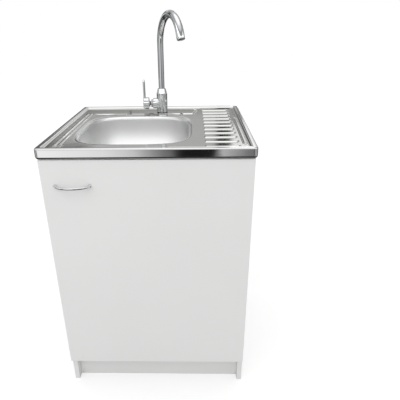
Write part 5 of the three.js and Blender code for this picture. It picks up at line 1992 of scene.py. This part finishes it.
    def build_drop_pipe(self) -> None:
        """Makes the drop pipe with its barbed hose spigot, and the pull ring below it."""
        x, y = self.axis
        bore_radius = self.pipe_radius - self.pipe_wall
        tube_profile = washer(bore_radius, self.pipe_radius, self.pipe_bottom, self.pipe_top, 0.5)
        pipe = turned(tube_profile, self._drain(0), 64, "drain_drop_pipe", True)
        heading = (-math.cos(self.spigot_tilt), 0, math.sin(self.spigot_tilt))
        end = self.pipe_radius + self.spigot_length
        r = self.spigot_radius
        profile = [(0, 17), (r, 17), (r, 22), (r + 1.6, 24), (r + 1.6, 27), (r, 29)]
        for barb in (end - 36, end - 26, end - 16, end - 6):
            profile += [(r, barb - 5), (r + 1.2, barb - 3), (r + 1.2, barb - 1.6), (r, barb + 2.5)]
        profile += [(r - 0.6, end), (0, end)]
        stand = Stand((x, y, self.spigot_root), heading, (0, 1, 0))
        spigot = turned(eased(profile, 0.5, 2), stand, 48)
        root = np.array([x, y, self.spigot_root])
        far = root + np.array(heading) * (end + 1)
        bore = pin(tuple(root), tuple(far), 9, 40)
        through = pin((x, y, self.pipe_bottom - 1), (x, y, self.pipe_top + 1), bore_radius, 64)
        trimmed(pipe, [spigot], [through, bore], 35.0)
        finished(pipe, self.finishes.plastic, Body.UNIT, "drop_pipe")
        stub = x - self.pipe_radius - 0.5
        middle = stub - 14
        ring = self._loop(9.0, 2.0, (middle, y, self.cap_z), 48, 16).to_object("spigot_pull_ring")
        adds = [
            pin((stub, y, self.cap_z), (stub - 6, y, self.cap_z), 2.4, 24),
            pin((stub, y, self.cap_z), (stub - 1.5, y, self.cap_z), 5, 32),
        ]
        trimmed(ring, adds)
        finished(ring, self.finishes.plastic, Body.UNIT, "blanking_cap")

    def build_trap(self) -> None:
        """Makes the U of the trap with its sockets and both union nuts."""
        across = np.array([math.cos(self.trap_turn), math.sin(self.trap_turn), 0])
        foot = np.array([*self.axis, self.trap_centre])
        half = self.trap_centres / 2
        up = np.array([0, 0, 1.0])
        far = foot + across * self.trap_centres
        stations = [(foot + up * z, radius, inner) for z, radius, inner in (
            (38, 22.1, 20.3), (37.4, 22.5, 20.3), (23.2, 22.5, 20.3), (23.0, 22.5, 18.2), (22, 22.5, 18),
            (20.8, 22.0, 18), (18.6, 20.2, 18), (17, 20, 18), (9, 20, 18),
        )]
        for step in range(41):
            turn = math.pi * step / 40
            point = foot + across * (half - half * math.cos(turn)) - up * half * math.sin(turn)
            stations.append((point, 20 if step < 39 else 20 + (step - 38) * 0.6, 18))
        stations += [(far + up * z, radius, inner) for z, radius, inner in (
            (0.6, 21.6, 18), (1.6, 22.4, 18), (2.4, 22.5, 20.3), (11.4, 22.5, 20.3), (12, 22.1, 20.3),
        )]
        path, outer, bore = (np.array(column) for column in zip(*stations))
        side = tuple(np.cross(across, up))
        bend = swept(path, outer, side, 56, bore).to_object("trap_u_bend", True, 35.0)
        finished(bend, self.finishes.plastic, Body.UNIT, "trap_bend")
        nut = UnionNut(28, 22.8, 20.3, 24, 0)
        wing = nut.build("trap_wing_nut", self._drain(self.wing_foot), self.details, self.finishes.plastic)
        x, y = self.axis
        ears = block((x - 36, x + 36), (y - 2.5, y + 2.5), (self.wing_foot + 4, self.wing_foot + 16), "helper")
        bevelled(ears, 1.6, 3)
        inside = pin((x, y, self.wing_foot - 1), (x, y, self.wing_foot + 25), 26, 64)
        trimmed(ears, cut=[inside])
        trimmed(wing, [ears])
        finished(wing, self.finishes.plastic, Body.UNIT, "wing_nut")
        stand = Stand((far[0], far[1], self.slip_foot))
        slip = UnionNut(28, 22.8, 20.3, 22, 12).build("trap_slip_nut", stand, self.details, self.finishes.plastic)
        finished(slip, self.finishes.plastic, Body.UNIT, "slip_nut")

    def build_outlet(self) -> None:
        """Makes the elbow and the pipe that runs back to the wall."""
        x = self.axis[0] + self.trap_centres * math.cos(self.trap_turn)
        y = self.axis[1] + self.trap_centres * math.sin(self.trap_turn)
        low = self.trap_centre + 0.6
        path = bent_path([(x, y, low), (x, y, self.outlet_z), (x, self.outlet_end, self.outlet_z)], self.elbow, 20, 8)
        radii = np.full(len(path), self.pipe_radius)
        pipe = swept(path, chamfered(radii, 0.5), (1, 0, 0), 56, radii - self.pipe_wall)
        finished(pipe.to_object("outlet_elbow_pipe"), self.finishes.plastic, Body.UNIT, "outlet_pipe")

    def build(self) -> None:
        """Makes and dresses the waste kit."""
        self.build_strainer()
        self.build_body()
        self.build_plug()
        self.build_drop_pipe()
        self.build_trap()
        self.build_outlet()


@dataclass
class Overflow:
    """The overflow: rose in the bowl, housing behind the wall, pipe and nut."""

    finishes: Finishes
    details: RingOfDetails
    place: tuple = (112.06, 238.0, 800.0)
    lean: float = math.radians(3)
    rose: tuple = (62.0, 40.0)
    rose_depth: float = 4.0
    housing_depth: float = 24.0
    back: float = 4.6
    pipe_radius: float = 13.5
    pipe_wall: float = 1.6
    bend: float = 72.0
    level: float = 652.4
    nozzle_x: float = -0.7
    nut_x: float = -14.5
    nut_length: float = 34.0

    def _stand(self, out: float = 0.0) -> Stand:
        """A frame on the bowl's wall: X along Y of the unit, Z out through the wall."""
        along = (math.cos(self.lean), 0, -math.sin(self.lean))
        origin = np.array(self.place) + np.array(along) * out
        return Stand(tuple(origin), along, (0, 1, 0))

    def build_rose(self) -> None:
        """Makes the chrome rose: a dish with slots and a screw seat."""
        half_w, half_h = self.rose[0] / 2, self.rose[1] / 2
        depth = self.rose_depth
        stand = self._stand(-0.3)
        levels = [(0.0, 0.0), (0.6, -0.3), (2.6, -0.1), (3.5, 0.5), (depth, 1.6)]
        rings = []
        for out, inset in levels:
            outline = rounded_box(half_w - inset, half_h - inset, 6 - min(inset, 1.0), 8)
            rings.append(stand.place(raised(outline, -out)))
        inner = []
        for out, inset in ((depth - 1.2, 2.2), (0.0, 1.2)):
            outline = rounded_box(half_w - inset, half_h - inset, 5, 8)
            inner.append(stand.place(raised(outline, -out)))
        skin = Skin()
        skin.rows(np.array(rings))
        skin.lid(rings[-1])
        skin.rows(np.array([rings[0], inner[1]]))
        skin.rows(np.array([inner[1], inner[0]]))
        skin.lid(inner[0][::-1])
        rose = skin.to_object("overflow_rose_dish", True, 35.0)
        cuts = []
        for offset in (-21, -14, 14, 21):
            slot_outline = rounded_box(1.8, half_h - 9, 1.7, 5) + np.array([offset, 0])
            cuts.append(cutter(slot_outline, -10, 1, stand))
        cuts.append(turned([(0, -10), (2.8, -10), (2.8, 1), (0, 1)], stand, 32))
        trimmed(rose, cut=cuts, crease=35.0)
        finished(rose, self.finishes.chrome, Body.UNIT, "overflow_rose")

    def build_housing(self) -> None:
        """Makes the seal, the plastic housing with its spigot, and the screw."""
        dressed("overflow_gasket", "overflow_seal", 0.5, self.finishes.rubber, Body.UNIT)
        housing = from_node("overflow_housing", "overflow_box", 0.0)
        bevelled(housing, 0.7, 2, 50.0)
        finished(housing, self.finishes.plastic, Body.UNIT, "overflow_housing")
        stand = self._stand()
        tip = -0.3 - self.rose_depth - 0.3
        end = self.back + self.housing_depth - 5.3
        profile = [(0, tip - 1.8), (3.2, tip - 1.8), (4.5, tip - 0.6), (4.5, tip), (2.5, tip), (2.5, tip + 8)]
        for step in np.arange(tip + 8.6, end - 1.5, 1.2):
            profile += [(2.5, step), (2.1, step + 0.6)]
        profile += [(1.6, end), (0, end)]
        screw = turned(profile, stand, 32, "overflow_fixing_screw", crease=25.0)
        cross = []
        for outline in (rounded_box(2.2, 0.45, 0.2, 2), rounded_box(0.45, 2.2, 0.2, 2)):
            cross.append(cutter(outline, tip - 3, tip - 0.9, stand))
        trimmed(screw, cut=cross, crease=25.0)
        finished(screw, self.finishes.zinc, Body.UNIT, "overflow_screw")

    def build_pipe(self) -> None:
        """Makes the bent pipe and the nut that holds it on the drain's side tube."""
        stand = self._stand()
        middle = self.back + self.housing_depth / 2
        mouth = -self.rose[1] / 2 - 2.3
        top = stand.place([0, mouth, middle])
        drop = (top[2] - self.level) / math.cos(self.lean)
        corner = stand.place([0, mouth - drop, middle])
        corner[2] = self.level
        end = np.array([self.nozzle_x, self.place[1], self.level])
        path = bent_path([top, corner, end], self.bend, 30, 6)
        radii = np.full(len(path), self.pipe_radius)
        pipe = swept(path, chamfered(radii, 0.4), (0, 1, 0), 48, radii - self.pipe_wall)
        finished(pipe.to_object("overflow_bent_pipe"), self.finishes.plastic, Body.UNIT, "overflow_pipe")
        nut = UnionNut(20.3, 14.3, 14.3, self.nut_length, 12)
        nut_stand = Stand((self.nut_x, self.place[1], self.level), (1, 0, 0), (0, 0, 1))
        piece = nut.build("overflow_union_nut", nut_stand, self.details, self.finishes.plastic)
        finished(piece, self.finishes.plastic, Body.UNIT, "overflow_nut")

    def build(self) -> None:
        """Makes and dresses the overflow."""
        self.build_rose()
        self.build_housing()
        self.build_pipe()


# --- Studio ---


class Sky(NodeTree):
    """The surroundings' node tree, with directions as azimuth and elevation in degrees."""

    def __init__(self, world: bpy.types.World) -> None:
        """Starts the tree with the direction that is looked along.

        Args:
            world: the world whose nodes these are.
        """
        super().__init__(world.node_tree)
        direction = self.node("ShaderNodeTexCoord").outputs["Generated"]
        x, self.y, self.z = self.node("ShaderNodeSeparateXYZ", {0: direction}).outputs
        turn = self.maths("ARCTAN2", x, self.maths("ABSOLUTE", self.y))
        self.azimuth = self.maths("MULTIPLY", turn, 180 / math.pi)
        rise = self.maths("MINIMUM", self.maths("MAXIMUM", self.z, -1.0), 1.0)
        self.elevation = self.maths("MULTIPLY", self.maths("ARCSINE", rise), 180 / math.pi)

    def clamped(self, value: Socket) -> Socket:
        """Keeps a value between 0 and 1."""
        return self.maths("MINIMUM", self.maths("MAXIMUM", value, 0.0), 1.0)

    def above(self, start: float, width: float) -> Socket:
        """Share that grows from 0 at an elevation to 1 a given width above it."""
        return self.clamped(self.maths("DIVIDE", self.maths("SUBTRACT", self.elevation, start), width))

    def along(self, angle: Socket, stops: tuple) -> Socket:
        """Brightness along an angle between -90 and 90 degrees.

        Args:
            angle: the azimuth or the elevation.
            stops: pairs of an angle and the level there.

        Returns:
            The level.
        """
        share = self.maths("DIVIDE", self.maths("SUBTRACT", angle, -90.0), 180.0)
        node = self.node("ShaderNodeValToRGB", {"Fac": share})
        elements = node.color_ramp.elements
        elements.remove(elements[0])
        for i, (degrees, level) in enumerate(stops):
            place = (degrees + 90.0) / 180.0
            element = elements.new(place) if i else elements[0]
            element.position = place
            element.color = (level, level, level, 1)
        return node.outputs["Color"]

    def window(self, across: tuple, up: tuple) -> Socket:
        """Share of a soft-edged patch.

        Args:
            across: azimuths where it starts, is full, is still full and ends.
            up: the same along the elevation.

        Returns:
            The share.
        """
        shares = [
            self.along(angle, tuple(zip(marks, (0, 1, 1, 0))))
            for angle, marks in ((self.azimuth, across), (self.elevation, up))
        ]
        return self.maths("MULTIPLY", *shares)

    def mixed(self, share: object, first: object, second: object) -> Socket:
        """Mixes two brightness levels."""
        return self.node("ShaderNodeMix", {0: share, 2: first, 3: second}, data_type="FLOAT").outputs[0]


@dataclass
class Kitchen:
    """What the metal reflects, as pairs of degrees and brightness.

    The front is the side that the door looks to. A patch has its azimuths and its elevations, as Sky.window wants
    them. A split or a start has the elevation where a change begins and how far it takes.
    """

    front_low: tuple = (
        (-90, 0.5), (-57, 0.45), (-53, 0.05), (-48, 0.05), (-42, 0.5), (-33, 1.0), (-21, 1.1), (-12, 0.9),
        (-8.5, 0.7), (-5, 0.3), (-2.4, 0.05), (-1.7, 0.012), (3.2, 0.012), (3.9, 0.6), (6.3, 0.36), (8.1, 0.2),
        (12, 0.12), (28, 0.12), (35, 0.6), (44, 0.5), (48, 0.05), (53, 0.05), (57, 0.45), (90, 0.5),
    )
    front_high: tuple = (
        (-10, 0.55), (6, 0.6), (12, 0.45), (18, 1.5), (29, 2.2), (36, 0.5), (41, 0.3), (50, 0.8), (70, 1.1),
    )
    back_rise: tuple = (
        (-20, 0.25), (-3, 0.3), (0, 1.2), (5, 1.4), (7.5, 0.5), (9, 0.2), (10.4, 0.25), (11.4, 0.54),
        (15.8, 0.56), (18, 0.85), (24, 0.8), (30, 0.5), (45, 0.5), (60, 0.9), (74, 1.6),
    )
    back_side: tuple = (
        (-90, 0.8), (-58, 0.75), (-54, 0.15), (-49, 0.15), (-43, 0.7), (-28, 0.8), (-22, 1.1), (-10, 1.0),
        (2.5, 0.95), (4.9, 1.8), (8.8, 1.8), (12, 0.8), (43, 0.7), (49, 0.15), (54, 0.15), (58, 0.75), (90, 0.8),
    )
    dark: float = 0.012
    shade: float = 0.06
    corner: float = 0.22
    ceiling: float = 1.6
    ground: float = 0.04
    dome: tuple = (0.72, 1.0)
    dark_patch: tuple = ((2.7, 3.25, 4.9, 5.2), (11.0, 12.6, 46, 52))
    corner_patch: tuple = ((4.6, 5.2, 7.0, 8.0), (8.5, 9.5, 11.8, 12.8))
    left_patch: tuple = ((-26, -22, -15.5, -13), (14.3, 15.1, 17, 19))
    slant: float = 1.38
    slant_place: float = 0.75
    slant_sharpness: float = 2.5
    slant_share: float = 0.8
    slant_fade: tuple = ((-34, 0), (-26, 1))
    front_split: tuple = (-8.0, 8.0)
    back_split: tuple = (30.0, 15.0)
    ceiling_start: tuple = (62.0, 12.0)
    ground_start: tuple = (-27.0, -6.0)

    def _back(self, sky: Sky) -> Socket:
        """The wall behind the unit with its dark patches, which the deck and the drainer reflect.

        Args:
            sky: the tree that it is made in.

        Returns:
            The wall's brightness.
        """
        lit = sky.maths(
            "MULTIPLY",
            sky.along(sky.elevation, self.back_rise),
            sky.mixed(sky.above(*self.back_split), sky.along(sky.azimuth, self.back_side), 1.0),
        )
        shaded = sky.mixed(sky.window(*self.dark_patch), lit, self.dark)
        cornered = sky.mixed(sky.window(*self.corner_patch), shaded, self.corner)
        slanted = sky.maths("MULTIPLY_ADD", sky.elevation, self.slant, sky.azimuth)
        aside = sky.maths("SUBTRACT", self.slant_place, slanted)
        aside = sky.clamped(sky.maths("MULTIPLY", aside, self.slant_sharpness))
        aside = sky.maths("MULTIPLY", aside, sky.along(sky.azimuth, self.slant_fade))
        left = sky.window(*self.left_patch)
        aside = sky.maths("MULTIPLY", aside, self.slant_share)
        return sky.mixed(sky.maths("MAXIMUM", aside, left), cornered, self.shade)

    def build(self) -> None:
        """Makes the surroundings: white to the camera, a soft dome for light and a kitchen to reflect."""
        world = bpy.data.worlds.new("studio")
        world.use_nodes = True
        world.cycles.sampling_method = "NONE"
        bpy.context.scene.world = world
        sky = Sky(world)
        front = sky.mixed(
            sky.above(*self.front_split),
            sky.along(sky.azimuth, self.front_low),
            sky.along(sky.elevation, self.front_high),
        )
        around = sky.mixed(sky.maths("GREATER_THAN", sky.y, 0.0), front, self._back(sky))
        lifted = sky.mixed(sky.above(*self.ceiling_start), around, self.ceiling)
        reflected = sky.mixed(sky.above(*self.ground_start), lifted, self.ground)
        ray = sky.node("ShaderNodeLightPath").outputs
        soft = sky.mixed(sky.maths("MULTIPLY_ADD", sky.z, 0.5, 0.5), *self.dome)
        level = sky.mixed(ray["Is Camera Ray"], sky.mixed(ray["Is Glossy Ray"], soft, reflected), 1.0)
        background = sky.node("ShaderNodeBackground", {"Color": (1, 1, 1, 1), "Strength": level})
        sky.node("ShaderNodeOutputWorld", {"Surface": background.outputs[0]})


@dataclass
class Studio:
    """Floor, surroundings, lamp and camera."""

    camera_at: tuple = (127.5, -1080.2, 1154.9)
    yaw: float = math.radians(-1.72)
    pitch: float = math.radians(26.0)
    roll: float = math.radians(-0.86)
    focal: float = 420.0
    middle: tuple = (182.0, 224.0)
    sensor: float = 36.0
    floor_reach: float = 9.0
    floor_grey: float = 0.62
    floor_glow: float = 0.45
    lamp_at: tuple = (-1.3, -2.2, 2.6)
    lamp_height_aimed_at: float = 0.6
    lamp_size: tuple = (2.4, 1.8)
    lamp_power: float = 14.0

    def _stand(self, item: Object, right: Array, back: Array, place: tuple) -> None:
        """Puts a camera or a lamp in the scene.

        Args:
            item: the object.
            right: its own X.
            back: its own Z, which points away from what it looks at.
            place: where it is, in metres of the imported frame.
        """
        bpy.context.scene.collection.objects.link(item)
        matrix = np.eye(4)
        matrix[:3] = np.column_stack([right, np.cross(back, right), back, place])
        item.matrix_world = Matrix(matrix.tolist())

    def build_camera(self) -> None:
        """Sets the camera where the picture was taken from."""
        data = bpy.data.cameras.new("camera")
        data.sensor_width = self.sensor
        data.sensor_fit = "HORIZONTAL"
        data.lens = self.focal / PICTURE * self.sensor
        data.shift_x = (PICTURE / 2 - self.middle[0]) / PICTURE
        data.shift_y = (self.middle[1] - PICTURE / 2) / PICTURE
        data.clip_start, data.clip_end = 0.01, 50
        cy, sy = math.cos(self.yaw), math.sin(self.yaw)
        cp, sp = math.cos(self.pitch), math.sin(self.pitch)
        ahead = np.array([sy * cp, cy * cp, -sp])
        level = np.array([cy, -sy, 0.0])
        right = math.cos(self.roll) * level + math.sin(self.roll) * np.cross(level, ahead)
        camera = bpy.data.objects.new("camera", data)
        self._stand(camera, right, -ahead, in_frame(np.array(self.camera_at)))
        bpy.context.scene.camera = camera

    def build_floor(self) -> None:
        """Makes the pale floor, seen as white, that keeps the unit's shadow."""
        mesh = bpy.data.meshes.new("floor")
        reach = self.floor_reach
        corners = [(-reach, -reach, 0), (reach, -reach, 0), (reach, reach, 0), (-reach, reach, 0)]
        mesh.from_pydata(corners, [], [(0, 1, 2, 3)])
        floor = bpy.data.objects.new("floor", mesh)
        bpy.context.scene.collection.objects.link(floor)
        material = bpy.data.materials.new("studio_floor")
        material.use_nodes = True
        tree = NodeTree(material.node_tree)
        grey = (*[self.floor_grey] * 3, 1)
        seen = tree.node("ShaderNodeLightPath").outputs["Is Camera Ray"]
        glow = tree.node("ShaderNodeEmission", {"Strength": tree.maths("MULTIPLY", seen, self.floor_glow)})
        diffuse = tree.node("ShaderNodeBsdfDiffuse", {"Color": grey})
        both = tree.node("ShaderNodeAddShader", {0: diffuse.outputs[0], 1: glow.outputs[0]})
        tree.node("ShaderNodeOutputMaterial", {"Surface": both.outputs[0]})
        mesh.materials.append(material)
        floor.visible_glossy = False

    def build_lamp(self) -> None:
        """Sets one large soft lamp above, in front and to the left."""
        data = bpy.data.lights.new("soft_key", "AREA")
        data.shape = "RECTANGLE"
        data.size, data.size_y = self.lamp_size
        data.energy = self.lamp_power
        back = np.array(self.lamp_at) - np.array([0, 0, self.lamp_height_aimed_at])
        back /= np.linalg.norm(back)
        right = np.cross([0, 0, 1], back)
        right /= np.linalg.norm(right)
        lamp = bpy.data.objects.new("soft_key", data)
        self._stand(lamp, right, back, self.lamp_at)
        lamp.visible_glossy = False

    def build(self) -> None:
        """Makes the whole studio and sets how colours are shown."""
        bpy.context.scene.view_settings.view_transform = "Standard"
        self.build_camera()
        self.build_floor()
        Kitchen().build()
        self.build_lamp()


# --- Everything together ---


def main() -> None:
    """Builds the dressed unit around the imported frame."""
    logging.basicConfig(level=logging.INFO, format="%(message)s")
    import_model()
    finishes = Finishes()
    details, threads = RingOfDetails(), ThreadRidge()
    for part in (
        Cabinet(finishes),
        Door(finishes),
        SinkTop(finishes),
        Tap(finishes, threads),
        Waste(finishes, details),
        Overflow(finishes, details),
    ):
        part.build()
    Studio().build()


if __name__ == "__main__":
    main()
